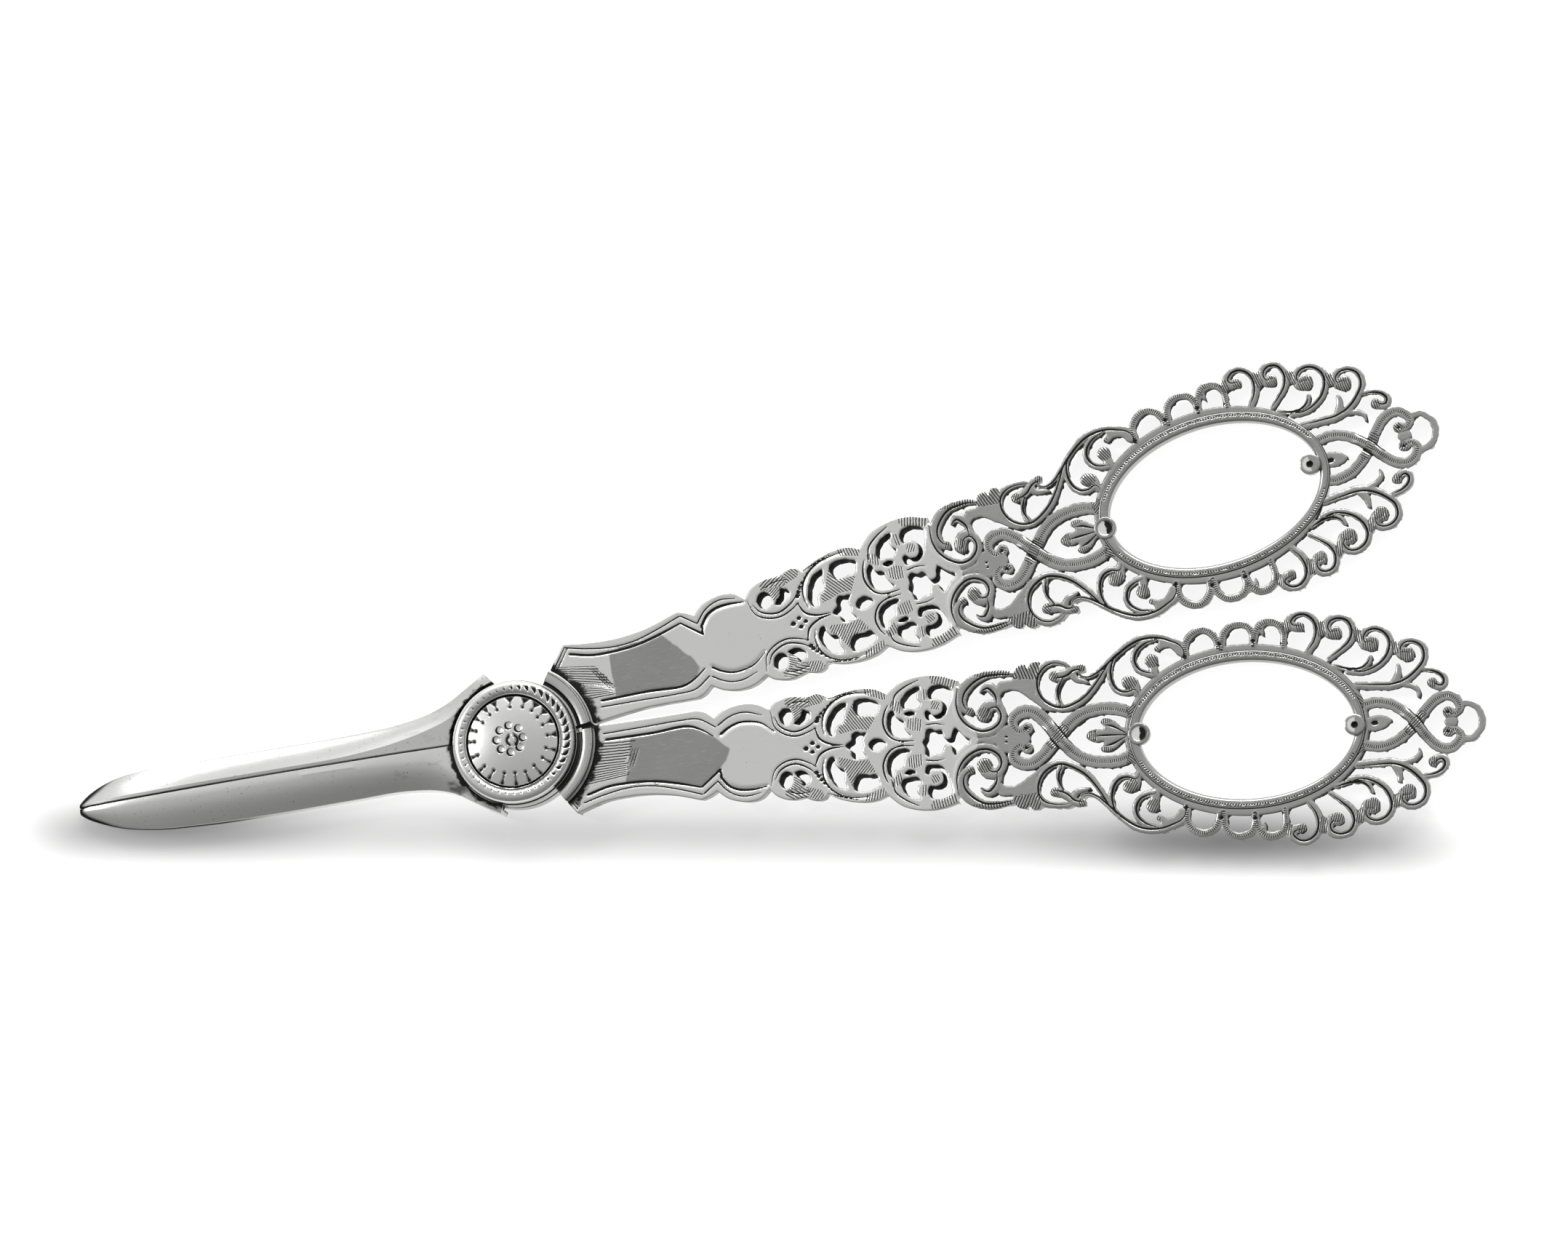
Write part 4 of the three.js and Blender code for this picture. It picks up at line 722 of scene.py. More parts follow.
INNER_CUTS = [
    [(11.3, 1.95, DEEP), (17, 2.55, DEEP), (21.5, 3.2, DEEP), (23.2, 2.7, 0.24), (24.6, 1.9, 0.14)],
    [(11, 2.7, FINE), (16, 3.35, FINE), (20.5, 3.95, FINE), (22.8, 4.05, FINE), (24.9, 3.0, FINE)],
    [(25.6, 2.1, 0.34), (26.5, 2.8, 0.3), (27.8, 3.4, 0.26), (29.2, 3.5, 0.24), (30.6, 3.25, 0.2),
     (32.2, 2.2, 0.08)],
    [(25.3, 3.2, 0.2), (26.5, 4.1, FINE), (27.8, 4.6, FINE), (29, 4.65, FINE), (30.7, 4.25, 0.08)],
]
OUTER_CUTS = [
    [(9, -4.8, DEEP), (11.5, -3.9, DEEP), (14, -3.55, DEEP), (17, -3.45, DEEP), (20, -3.8, DEEP),
     (23, -4.4, 0.24)],
    [(8.5, -5.8, FINE), (11, -4.9, FINE), (14, -4.15, FINE), (17, -4.0, FINE), (20, -4.5, FINE),
     (23.2, -5.3, FINE)],
    [(23.2, -4.4, 0.24), (24.4, -3.3, 0.3), (25.45, -2.35, 0.34)],
    [(25.45, -2.35, 0.34), (25.7, -3.2, 0.2)],
    [(23.5, -5.2, 0.2), (25, -3.9, FINE)],
    [(25.6, -3.3, 0.34), (26.6, -4.4, 0.36), (27.8, -4.9, 0.36), (29.5, -4.95, 0.3), (31.3, -4.65, 0.12)],
    [(25.2, -3.8, 0.2), (26.4, -5, FINE), (27.6, -5.6, FINE), (28.8, -5.75, FINE), (30.5, -5.4, 0.08)],
]
# punched dots: place and width
DOTS = [(36.2, -0.15, 0.66), (37, 0.5, 0.6), (37.7, 0, 0.55), (37, -0.6, 0.55)]
SIDE_DOTS = [
    (37.5, 3.2, 0.6), (37.75, 3.65, 0.5), (38.1, 4.15, 0.42), (38.5, 4.6, 0.36), (39, 5.05, 0.32),
    (39.4, 5.45, 0.28), (39.9, 5.75, 0.24), (40.5, 6.2, 0.2), (41.1, 6.5, 0.18),
    (83.3, 9.35, 0.55), (87.6, 10.75, 0.5), (91.8, 10.95, 0.5), (95.1, 10.5, 0.4),
    (60.5, 7.45, 0.16), (61.1, 7.5, 0.18), (61.7, 7.55, 0.16), (62.3, 7.5, 0.14), (62.9, 7.4, 0.12),
    (63.6, 1.25, 0.45), (115.75, -1.2, 0.4), (61.1, 0.3, 0.3),
]
LEAF_CUTS = [
    [(76.0, 0, 0.08), (74.8, 0.02, 0.16), (73.2, 0, 0.26), (72.2, 0, 0.05)],
    [(76.0, 0.18, 0.08), (75.1, 0.68, 0.18), (74.2, 1.12, 0.28), (73.4, 1.3, 0.06)],
    [(76.0, -0.18, 0.08), (75.1, -0.68, 0.18), (74.2, -1.12, 0.28), (73.4, -1.3, 0.06)],
    [(106.6, 0.2, 0.62), (106.85, 0.22, 0.62)],
]
print("cuts drawn:", sum(len(table) for table in (SIDE_CUTS, INNER_CUTS, OUTER_CUTS, LEAF_CUTS)))

# %% [markdown]
# All cuts together make two more maps: the distance to the nearest cut, and the place across that
# cut, from -1 on one edge to 1 on the other. The second has a sign so that it runs straight
# through the middle, and a mesh that is coarser than the cut still gives a crisp line.

# %% Maps of the cuts
def dot(u, v, width):
    return [(u - 0.01, v, width), (u + 0.01, v, width)]


BRUSH_STROKES, BRUSH_PITCH = 3, 0.36
# the two lines along the short edge: how far in from it, and how wide
EDGE_LINES = ((0.4, 0.2), (0.78, 0.16))


def corner_lines(handle):
    """A few fine strokes across the ends of the collar's lines, and two along the corner's short edge."""
    (u0, v0), (u1, v1) = handle["brush"]
    stroke = [(u0, v0, 0.03), ((u0 + u1) / 2, (v0 + v1) / 2, 0.08), (u1, v1, 0.03)]
    lines = [[(u - BRUSH_PITCH * k, v, width) for u, v, width in stroke] for k in range(BRUSH_STROKES)]
    corner_radius, reach = corner_reach(handle)
    inward = np.array([-reach[1], reach[0]])
    for offset, width in EDGE_LINES:
        near, far = (np.array(handle["pivot"]) + radius * reach + offset * inward
                     for radius in (BOLSTER_RADIUS + 0.4, corner_radius - 0.5))
        lines.append([(*near, width), (*far, 0.6 * width)])
    return lines


def engraved_lines(handle):
    tables = [*both_sides(SIDE_CUTS), *INNER_CUTS, *OUTER_CUTS, *LEAF_CUTS, *corner_lines(handle)]
    tables += [dot(*place) for place in [*DOTS, *SIDE_DOTS, *mirrored(SIDE_DOTS)]]
    return [smooth_line(places, step=0.25) for places in tables]


def nearest_crossing(line):
    """Where along the axis a strap meets its twin."""
    return min(CROSSINGS, key=lambda place: abs(place - line[len(line) // 2, 0]))


def over_strap(line, side):
    """Whether a strap passes over the other one: the one that falls from left to right."""
    start = line[:, 1][np.abs(line[:, 1]) > 0.5][0] if line[0, 0] < line[-1, 0] else -line[0, 1]
    return np.sign(start) == side


FAR, FAR_ACROSS = 3.0, 8.0
SCROLL_LINE_HALF, SCROLL_LINE_OFF = 0.15, 0.17
STRAP_LINE_HALF, CROSSING_REACH = 0.08, 1.9


def cut_map(handle):
    """Distance to the nearest cut's edge, and the place across it from -1 to 1."""
    cuts = np.full(U.shape, FAR)
    across = np.full(U.shape, FAR_ACROSS)

    def add(where, edge, share):
        nearer = edge < cuts[where]
        cuts[where] = np.where(nearer, edge, cuts[where])
        across[where] = np.where(nearer, np.clip(share, -FAR_ACROSS, FAR_ACROSS), across[where])

    for line in engraved_lines(handle):
        where = window(line, 1.0)
        edge, _, left = line_distance(line, where)
        add(where, edge, left / np.maximum(np.abs(left) - edge, 0.02))
    for kind, line, where, edge, along, left, turning in bands:
        length = np.hypot(*np.diff(line[:, :2], axis=0).T).sum()
        if kind == "scroll" and length > 3:
            wide = (np.abs(left) - edge) * 2
            half = SCROLL_LINE_HALF * np.sin(np.clip(along / length, 0.02, 0.98) * math.pi) ** 0.6
            off = left - SCROLL_LINE_OFF * wide * turning
            add(where, np.maximum(np.abs(off) - half, edge + 0.05), off / half)
        if kind == "strap":
            crossing = nearest_crossing(line)
            near = np.hypot(U[where] - crossing, V[where]) - CROSSING_REACH
            if over_strap(line, handle["side"]):
                add(where, np.maximum(np.abs(edge) - STRAP_LINE_HALF, near), edge / STRAP_LINE_HALF)
            else:
                handle.setdefault("under", []).append((where, edge, near))
    return cuts, across


for handle in handles.values():
    handle["cuts"], handle["across"] = cut_map(handle)
    print("engraved area:", round((handle["cuts"] < 0).sum() * CELL**2, 1), "mm2")

# %% [markdown]
# ## Hatching
# Knobs, shells and crossings are shaded with rows of short parallel cuts. A row is stored as a
# counter that goes up by one from cut to cut, and a region where it applies. The material draws
# a dark stroke wherever the counter passes a whole number, at any zoom.

# %% Hatched regions
HATCH_PITCH = 0.3
TICK_PITCH = 0.26
COLLAR_LINES = 15
COLLAR_WINDOW = [(7.0, -6.0), (15.5, 3.0)]
# each knob's place, radius and the angle of its strokes
KNOBS = [
    (56.6, 3.65, 0.45, 62), (58.4, 3.15, 0.95, 62), (67.1, 7.55, 0.62, 60), (70.45, 8.5, 0.5, 70),
    (63.7, 1.2, 0.5, 150), (76.5, 6.35, 0.9, 118), (79.35, 8.95, 0.85, 118), (79.8, 10.5, 0.33, 118),
    (97.6, 12.5, 0.6, 105), (101.95, 11.3, 0.85, 105), (106.4, 9.85, 1.0, 98), (110.8, 8.35, 0.98, 95),
    (113.9, 4.85, 0.6, 95), (115.7, -1.2, 0.6, 60),
]
# other hatched places: an outline, the angle of the strokes and their pitch
HATCHED = [
    ([(33.6, 5.2), (36.2, 4.9), (37.6, 5.6), (36.4, 6.2), (34.6, 6.4), (33.6, 5.9)], 32, 0.34),
    ([(36.3, 4.9), (38.2, 5.4), (38.6, 6.2), (37.6, 6.65), (36.4, 6.2)], 125, 0.3),
    ([(43.6, 6.2), (46.1, 5.4), (46.2, 6.2), (44.8, 6.9), (43.4, 7.0)], 100, 0.32),
    ([(41.0, 3.0), (42.0, 5.3), (43.4, 3.5), (44.9, 3.4), (44, 1.8), (42.6, 2), (41.2, 1.6), (40.3, 1.4),
      (40.3, 2.4)], 128, 0.3),
    ([(46.6, 4.5), (48, 3.6), (48.3, 4.3), (47.8, 5.2), (46.9, 5.4)], 80, 0.3),
    ([(49.4, 1.5), (50.6, 1.4), (50.7, 2.8), (49.8, 3.2), (48.8, 2.9), (48.8, 2.0)], 85, 0.3),
    ([(50.7, 5.3), (51.3, 5.2), (51.2, 6.6), (50.6, 6.7)], 95, 0.3),
    ([(51.7, 4.1), (52.8, 4.0), (52.9, 4.9), (51.9, 5.2)], 60, 0.28),
    ([(51.6, 8.3), (51.8, 7.3), (54.7, 6.5), (55.1, 7.5), (53.2, 8.2)], 75, 0.34),
    ([(61.9, 7.5), (65.2, 7.2), (65.4, 9.5), (63.9, 9.3), (62.2, 9.1)], 112, 0.36),
    ([(56.5, 8.0), (58.4, 8.5), (60.2, 8.65), (61.8, 8.5), (61.6, 7.9), (59, 7.75)], 78, 0.34),
    ([(76.2, 2.0), (77.4, 1.4), (77.8, 3.0), (76.6, 4.3), (75.9, 3.9)], 40, 0.27),
    ([(104.0, 2.0), (105.4, 1.8), (105.4, 3.3), (103.7, 4.4), (103.2, 3.9)], 140, 0.27),
    ([(33.7, 5.3), (35.9, 5.1), (35.75, 4.4), (35.2, 3.6), (34.7, 3.3), (34.65, 4.1),
      (34.4, 4.8)], 35, 0.26),
    ([(71, 0), (71.5, 0.6), (72.3, 0.8), (72.3, -0.8), (71.5, -0.6)], 90, 0.25),
    ([(72.8, 1.5), (73.9, 1.5), (74.6, 1.8), (73.7, 2.2), (72.9, 2.1)], 90, 0.25),
]
WEB_ANGLE = 100


def collar_hatch(handle):
    """The close lines that run out of the black band of painted shade beside the bolster: window, distance to
    the region's edge, counter.
    """
    starts, slopes, ends = np.array(handle["collar"]).T
    number = np.arange(-1, COLLAR_LINES + 1)
    pitch = (starts[-1] - starts[0]) / (COLLAR_LINES - 1)
    first_v = starts[0] + pitch * number
    first_u = handle["pivot"][0] + np.sqrt(BOLSTER_RADIUS**2 - (first_v - handle["pivot"][1]) ** 2)
    slope, end = np.interp(first_v, starts, slopes), np.interp(first_v, starts, ends)
    where = window(np.array(COLLAR_WINDOW), 0.5)
    u, v = U[where], V[where]
    rows = [np.interp(row, first_v + slope * (place - first_u), number) for place, row in zip(u[:, 0], v)]
    count = np.array(rows)
    uneven = 0.22 * np.sin(2.3 * np.rint(count)) + 0.1 * np.sin(5.1 * np.rint(count))
    beyond = u - np.interp(count, number, end) - uneven
    beside = np.abs(count - (COLLAR_LINES - 1) / 2) - COLLAR_LINES / 2
    return where, np.maximum(beyond, beside * pitch), count


def hatch_map(handle):
    """The counter of the nearest hatched region, and the distance to that region's edge."""
    counter = np.zeros(U.shape)
    region = np.full(U.shape, FAR)

    def add(where, edge, count):
        nearer = edge < region[where]
        region[where] = np.where(nearer, edge, region[where])
        counter[where] = np.where(nearer, np.broadcast_to(count, edge.shape), counter[where])

    def strokes(where, angle, pitch):
        turn = math.radians(angle)
        return (U[where] * math.sin(turn) - V[where] * math.cos(turn)) / pitch

    for side in (1, -1):
        for u, v, radius, angle in KNOBS:
            where = window(np.array([(u, side * v)]), radius + 1)
            edge = np.hypot(U[where] - u, V[where] - side * v) - radius
            add(where, edge, strokes(where, side * angle, 0.27))
        for places, angle, pitch in HATCHED:
            loop = np.array(places) * (1, side)
            where = window(loop, 1.0)
            add(where, loop_distance(loop, where), strokes(where, side * angle, pitch))
    for kind, line, where, edge, along, left, _ in bands:
        if kind == "scallop":
            add(where, edge + 0.26, along / 0.26)
        if kind == "web":
            add(where, edge - 0.15, strokes(where, WEB_ANGLE * np.sign(line[0, 1]), 0.27))
        if kind == "strap":
            inner = left * np.sign(line[0, 1]) * np.sign(line[-1, 0] - line[0, 0])
            add(where, np.abs(inner - 0.05) - 0.22, along / TICK_PITCH)
    add(*collar_hatch(handle))
    for where, edge, near in handle["under"]:
        add(where, np.maximum(edge + 0.12, near + 0.15), strokes(where, 45, HATCH_PITCH))
    return counter, region


for handle in handles.values():
    handle["counter"], handle["region"] = hatch_map(handle)
print("hatched area:", round((handles["lower"]["region"] < 0).sum() * CELL**2), "mm2")

# %% [markdown]
# ## Height of the plate
# The top of the plate falls evenly from the pivot to the tail. Worn edges are rounded, engraved
# lines are sunk, some with a slanting facet beside them, and where two straps cross, the under one
# dips and the over one rises.

# %% Height map
# lines with a slanting facet, and the side of the line it lies on
FACETED = [(INNER_CUTS[2], -1), (OUTER_CUTS[5], 1), (SIDE_CUTS[3], -1), (mirrored(SIDE_CUTS[3]), 1)]


EDGE_ROUND, CUT_DEPTH, FACET_DEPTH = 0.05, 0.05, 0.09
OVER_RISE, UNDER_DIP, BAND_CROWN = 0.16, 0.12, 0.05


def height_map(handle):
    inside = -handle["solid"]
    height = plate_top(U) - EDGE_ROUND * (1 - ease(inside / 0.22))
    height -= CUT_DEPTH * (1 - ease((handle["cuts"] + 0.05) / 0.2))
    for places, side in FACETED:
        line = smooth_line(places, step=0.25)
        where = window(line, 1.0)
        edge, _, left = line_distance(line, where)
        height[where] -= FACET_DEPTH * np.clip(1 - edge / 0.4, 0, 1) * (left * side > 0)
    for kind, line, where, edge, *_ in bands:
        if kind == "strap":
            near = ease((2.6 - np.hypot(U[where] - nearest_crossing(line), V[where])) / 1.2)
            if over_strap(line, handle["side"]):
                height[where] += OVER_RISE * near * ease(-edge / 0.2)
                height[where] -= UNDER_DIP * near * (1 - ease(edge / 0.5)) * (edge > 0)
        if kind in ("scroll", "scallop"):
            height[where] += BAND_CROWN * ease(-edge / 0.5)
    return height


for handle in handles.values():
    handle["height"] = height_map(handle)
print("plate is", plate_top(0), "mm thick at the pivot and", plate_top(HANDLE_LENGTH), "at the tail")

# %% [markdown]
# ## From map to mesh
# Marching squares turns the map into faces. First every node that lies close to the edge slides
# onto it, so no sliver faces are left. Then each square of four inside nodes is one face, and a
# square that the edge crosses is cut at the crossing.

# %% Top sheet
SNAP = 0.32


def snapped(solid):
    """Node places with those near the edge slid onto it, and the map with zeros there."""
    place = np.stack([U, V], -1)
    value = solid.copy()
    best = np.full(U.shape, SNAP)
    for axis in (0, 1):
        first = tuple(slice(None, -1) if k == axis else slice(None) for k in (0, 1))
        second = tuple(slice(1, None) if k == axis else slice(None) for k in (0, 1))
        crossing = (solid[first] < 0) != (solid[second] < 0)
        share = np.where(crossing, solid[first] / np.where(crossing, solid[first] - solid[second], 1), 1)
        for here, move in ((first, share), (second, share - 1)):
            near = crossing & (np.abs(move) < best[here])
            best[here] = np.where(near, np.abs(move), best[here])
            for k in (0, 1):
                base = (U, V)[k][here]
                slid = base + (move * CELL if k == axis else 0)
                place[here + (k,)] = np.where(near, slid, place[here + (k,)])
            value[here] = np.where(near, 0, value[here])
    return place, value


def sheet(solid):
    """Places and faces of the top sheet."""
    place, value = snapped(solid)
    places = [place.reshape(-1, 2)]
    number = np.arange(value.size).reshape(value.shape)
    corners = [(slice(0, -1), slice(0, -1)), (slice(1, None), slice(0, -1)),
               (slice(1, None), slice(1, None)), (slice(0, -1), slice(1, None))]
    quads = np.stack([number[corner] for corner in corners], -1).reshape(-1, 4)
    signs = np.sign(value).reshape(-1)[quads]
    whole = (signs <= 0).all(1) & (signs < 0).any(1)
    partial = (signs < 0).any(1) & (signs > 0).any(1)
    flat = value.reshape(-1)
    extra, crossing_number, faces = [], {}, [tuple(quad) for quad in quads[whole]]
    for quad, sign in zip(quads[partial].tolist(), signs[partial].tolist()):
        face = []
        for k in range(4):
            a, b = quad[k], quad[(k + 1) % 4]
            if sign[k] < 0 or (sign[k] == 0 and (sign[k - 1] <= 0 or sign[(k + 1) % 4] <= 0)):
                face.append(a)
            if sign[k] * sign[(k + 1) % 4] < 0:
                key = (min(a, b), max(a, b))
                if key not in crossing_number:
                    share = flat[a] / (flat[a] - flat[b])
                    extra.append(places[0][a] + share * (places[0][b] - places[0][a]))
                    crossing_number[key] = value.size + len(extra) - 1
                face.append(crossing_number[key])
        if len(face) > 2:
            faces.append(tuple(face))
    places = np.concatenate([places[0], np.array(extra)])
    used = np.unique([corner for face in faces for corner in face])
    renumber = np.full(len(places), -1)
    renumber[used] = np.arange(len(used))
    return places[used], [tuple(renumber[list(face)].tolist()) for face in faces]


print("a node moves by up to", round(SNAP * CELL, 3), "mm to lie on the edge")

# %% [markdown]
# The rim of that sheet goes down for the wall, and a Delaunay fill closes the flat back. The small
# holes were sawn nearly upright, but the outer edges and the open bow were filed under, so there
# the foot of the wall stands back from its top. The maps are stored on the mesh as attributes,
# where the material can read them.

# %% Walls, back and stored maps
def sample(field, places):
    """A map's value between its nodes."""
    at = (places - (grid_u[0], grid_v[0])) / CELL
    low = np.clip(np.floor(at).astype(int), 0, np.array(field.shape) - 2)
    share = at - low
    i, j = low.T
    left = field[i, j] * (1 - share[:, 0]) + field[i + 1, j] * share[:, 0]
    right = field[i, j + 1] * (1 - share[:, 0]) + field[i + 1, j + 1] * share[:, 0]
    return left * (1 - share[:, 1]) + right * share[:, 1]


def nearest(field, places):
    i, j = np.rint((places - (grid_u[0], grid_v[0])) / CELL).astype(int).T
    return field[i, j]


def rim_edges(faces):
    """Edges that belong to one face only, in that face's direction."""
    seen = {}
    for face in faces:
        for a, b in zip(face, face[1:] + face[:1]):
            seen[(a, b)] = True
    return [edge for edge in seen if edge[::-1] not in seen]


def back_fill(places, rim):
    """Triangles that fill the rim's outline, from corners on the rim only."""
    corners = sorted({corner for edge in rim for corner in edge})
    number = {corner: k for k, corner in enumerate(corners)}
    points = [Vector(places[corner]) for corner in corners]
    found, _, triangles, *_ = delaunay_2d_cdt(points, [(number[a], number[b]) for a, b in rim], [], 0, 1e-7)
    outline = np.array([[places[a], places[b]] for a, b in rim])
    centres = np.array([[sum(found[k][axis] for k in triangle) / 3 for axis in (0, 1)]
                        for triangle in triangles])
    inside = np.zeros(len(centres), bool)
    for (u0, v0), (u1, v1) in outline:
        if v0 != v1:
            v = centres[:, 1]
            inside ^= ((v0 > v) != (v1 > v)) & (centres[:, 0] < u0 + (u1 - u0) * (v - v0) / (v1 - v0))
    return [tuple(corners[k] for k in triangle) for triangle, keep in zip(triangles, inside) if keep]


GRIP_FLARE, BOW_TUCK, EDGE_TUCK = 0.05, 0.33, 0.4
PLATE_CREASE = 50


def drafted(handle, places):
    """Where the foot of the wall under each place of the rim lies."""
    slope = [sample(part, places) for part in np.gradient(handle["solid"], CELL)]
    normal = np.stack(slope, -1)
    normal /= np.maximum(np.linalg.norm(normal, axis=1), 0.3)[:, None]
    hole = sample(handle["hole"], places) > 0.5
    bow = ease(sample(handle["grip"], places) / 1.5 + 0.5)
    draft = np.where(hole, GRIP_FLARE - (GRIP_FLARE + BOW_TUCK) * bow, -EDGE_TUCK)
    wanted = np.abs(draft)
    room = np.abs(sample(handle["solid"], places + draft[:, None] * normal))
    draft = np.sign(draft) * np.where(room > 0.9 * wanted, wanted, 0.37 * (wanted + room))
    return places + draft[:, None] * normal


def plate_mesh(name, handle):
    places, faces = sheet(handle["solid"])
    rim = rim_edges(faces)
    back = back_fill(places, rim)
    corners = sorted({corner for edge in rim for corner in edge})
    below = {corner: len(places) + k for k, corner in enumerate(corners)}
    walls = [(b, a, below[a], below[b]) for a, b in rim]
    backs = [tuple(below[corner] for corner in triangle[::-1]) for triangle in back]
    flat = np.concatenate([places, places[corners]])
    feet = np.concatenate([places, drafted(handle, places[corners])])
    height = np.concatenate([sample(handle["height"], places), np.zeros(len(corners))])
    u, v = drifted(handle, *feet.T)
    everything = faces + walls + backs
    if handle["side"] < 0:
        everything = [face[::-1] for face in everything]
    mesh = bpy.data.meshes.new(name)
    mesh.from_pydata(to_row(handle, u, v, height).tolist(), [], everything)
    holes = nearest(handle["hole"], places[[a for a, _ in rim]]) > 0.5
    slot = np.array([0] * len(faces) + [1 if hole else 3 for hole in holes] + [2] * len(backs), np.int32)
    mesh.polygons.foreach_set("material_index", slot)
    for label in ("solid", "cuts", "across", "region", "grip", "arc", "hole", "panel"):
        values = sample(handle[label], flat).astype(np.float32)
        mesh.attributes.new(label, "FLOAT", "POINT").data.foreach_set("value", values)
    counter = nearest(handle["counter"], flat).astype(np.float32)
    mesh.attributes.new("counter", "FLOAT", "POINT").data.foreach_set("value", counter)
    mesh.polygons.foreach_set("use_smooth", [True] * len(everything))
    mesh.set_sharp_from_angle(angle=math.radians(PLATE_CREASE))
    mesh.update()
    print(name, "has", len(mesh.polygons), "faces, of which", len(backs), "on the back")
    return mesh

# %% [markdown]
# ## Silver
# Engraved silver is never one grey. The raised face is polished, the cuts keep black tarnish, and
# a V-shaped cut shows one black wall and one bright one, because the light comes from one side.
# The material reads the maps that were stored on the mesh. They drive the colour and also a bump,
# in millimetres: cuts and strokes are V grooves, and the outline is rubbed round and bright, while
# the edges of the sawn holes stay rough and black.

# %% Tarnish and bump
# the black of tarnish, and also of the painted shade
BLACKENED = grey(0.012)


def bump_in_mm(tree, shader, height):
    bump = put(tree, "ShaderNodeBump", Height=height, Distance=MM)
    tree.links.new(bump.outputs[0], shader.inputs["Normal"])


def finish_silver(tree, shader, colour, dark, roughness=0.24):
    """Joins a colour and a mask of black, for tarnish and for painted shade, to the shader, with fine
    scratches all over.
    """
    scratch = ramp(tree, noise(tree, 900, 3, (1, 9, 1)), 0.56, 0.7)
    cloud = noise(tree, 140, 3)
    clouded = mix_colour(tree, product(tree, cloud, 0.2), colour, grey(0.42))
    scratched = mix_colour(tree, product(tree, scratch, 0.1), clouded, grey(0.95))
    tree.links.new(mix_colour(tree, dark, scratched, BLACKENED), shader.inputs["Base Color"])
    rough = total(tree, product(tree, dark, 0.4), total(tree, product(tree, cloud, 0.14), roughness - 0.06))
    tree.links.new(rough, shader.inputs["Roughness"])
    metal = math_node(tree, "SUBTRACT", 1.0, product(tree, dark, 0.15))
    tree.links.new(metal, shader.inputs["Metallic"])


print("tarnish is as dark as", BLACKENED[0])

# %% [markdown]
# The plate has four looks, because its top, its sawn holes, its outer edge and its back were each
# worked with another tool. On the top several masks say where it is black, and the darkest wins.
# A material slot on each face says which of the four it gets.

# %% Engraved silver, saw-cut walls, filed edges and plain back
# depths of the bump in millimetres, and the greys before tarnish: the grip's, the bow's darker grey,
# which is partly satin and partly painted darker reflection, the panel's painted reflection, and the rubbed
# edge's
GROOVE_DEPTH, FURROW_DEPTH, RIM_ROUND = 0.06, 0.022, 0.045
GRIP_GREY, BOW_SATIN_AND_REFLECTION_GREY, REFLECTION_PATCH_GREY, RUBBED_GREY = 0.78, 0.4, 0.33, 0.85


def v_groove(tree, value, half):
    """1 in the middle of a groove, falling in a straight line to 0 at its edge."""
    return math_node(tree, "SUBTRACT", 1.0, math_node(tree, "DIVIDE", value, half), clamp=True)


def engraved_silver():
    material, tree, shader = new_material("engraved_silver")
    across = math_node(tree, "ABSOLUTE", stored(tree, "across"))
    close = ramp(tree, stored(tree, "cuts"), 0.1, 0.05)
    line = product(tree, ramp(tree, across, 1.15, 0.75), close)
    groove = product(tree, v_groove(tree, across, 1.25), close)

    shaky = product(tree, noise(tree, 1500, 1), 0.3)
    wave = math_node(tree, "PINGPONG", total(tree, stored(tree, "counter"), shaky), 0.5)
    inside = ramp(tree, stored(tree, "region"), 0.04, -0.04)
    stroke = product(tree, ramp(tree, wave, 0.27, 0.17), inside)
    furrow = product(tree, v_groove(tree, wave, 0.4), inside)

    solid, hole = stored(tree, "solid"), stored(tree, "hole")
    ragged = total(tree, solid, product(tree, noise(tree, 2500, 2), 0.2))
    burr = product(tree, ramp(tree, ragged, -0.03, 0.04), hole)
    rubbed = product(tree, ramp(tree, solid, -0.16, -0.06), math_node(tree, "SUBTRACT", 1.0, hole))
    rim = ramp(tree, solid, -0.16, 0.0)
    # painted shade: the plate goes black in a ragged band beside the bolster, in the corner that lies in
    # shade
    ragged_arc = total(tree, stored(tree, "arc"), product(tree, noise(tree, 1100, 3), 2.0))
    collar = ramp(tree, ragged_arc, 1.8, 2.6, 0.995, 0)
    pricks = product(tree, ramp(tree, noise(tree, 2600, 2), 0.7, 0.78), 0.55)
    dark = darkest(tree, line, product(tree, stroke, 0.96), product(tree, burr, 0.6), collar, pricks)

    bow = ramp(tree, stored(tree, "grip"), -0.05, 0.05)
    # painted reflection: a darker patch on the grip's panel, with streaky ends
    reflection_streaks = product(tree, noise(tree, 520, 3, (1, 0.2, 1)), 0.9)
    panel = ramp(tree, total(tree, stored(tree, "panel"), reflection_streaks), 0.6, 0.3)
    # the bow's darker grey is partly a satin finish and partly a painted darker reflection
    tone = mix_colour(tree, bow, grey(GRIP_GREY), grey(BOW_SATIN_AND_REFLECTION_GREY))
    tone = mix_colour(tree, panel, tone, grey(REFLECTION_PATCH_GREY))
    tone = mix_colour(tree, product(tree, rubbed, 0.5), tone, grey(RUBBED_GREY))
    height = product(tree, groove, -GROOVE_DEPTH)
    height = total(tree, height, product(tree, furrow, -FURROW_DEPTH))
    sharp = math_node(tree, "SUBTRACT", 1.0, product(tree, hole, 0.75))
    height = total(tree, height, product(tree, rim, sharp, -RIM_ROUND))
    bump_in_mm(tree, shader, height)
    finish_silver(tree, shader, tone, dark)
    return material


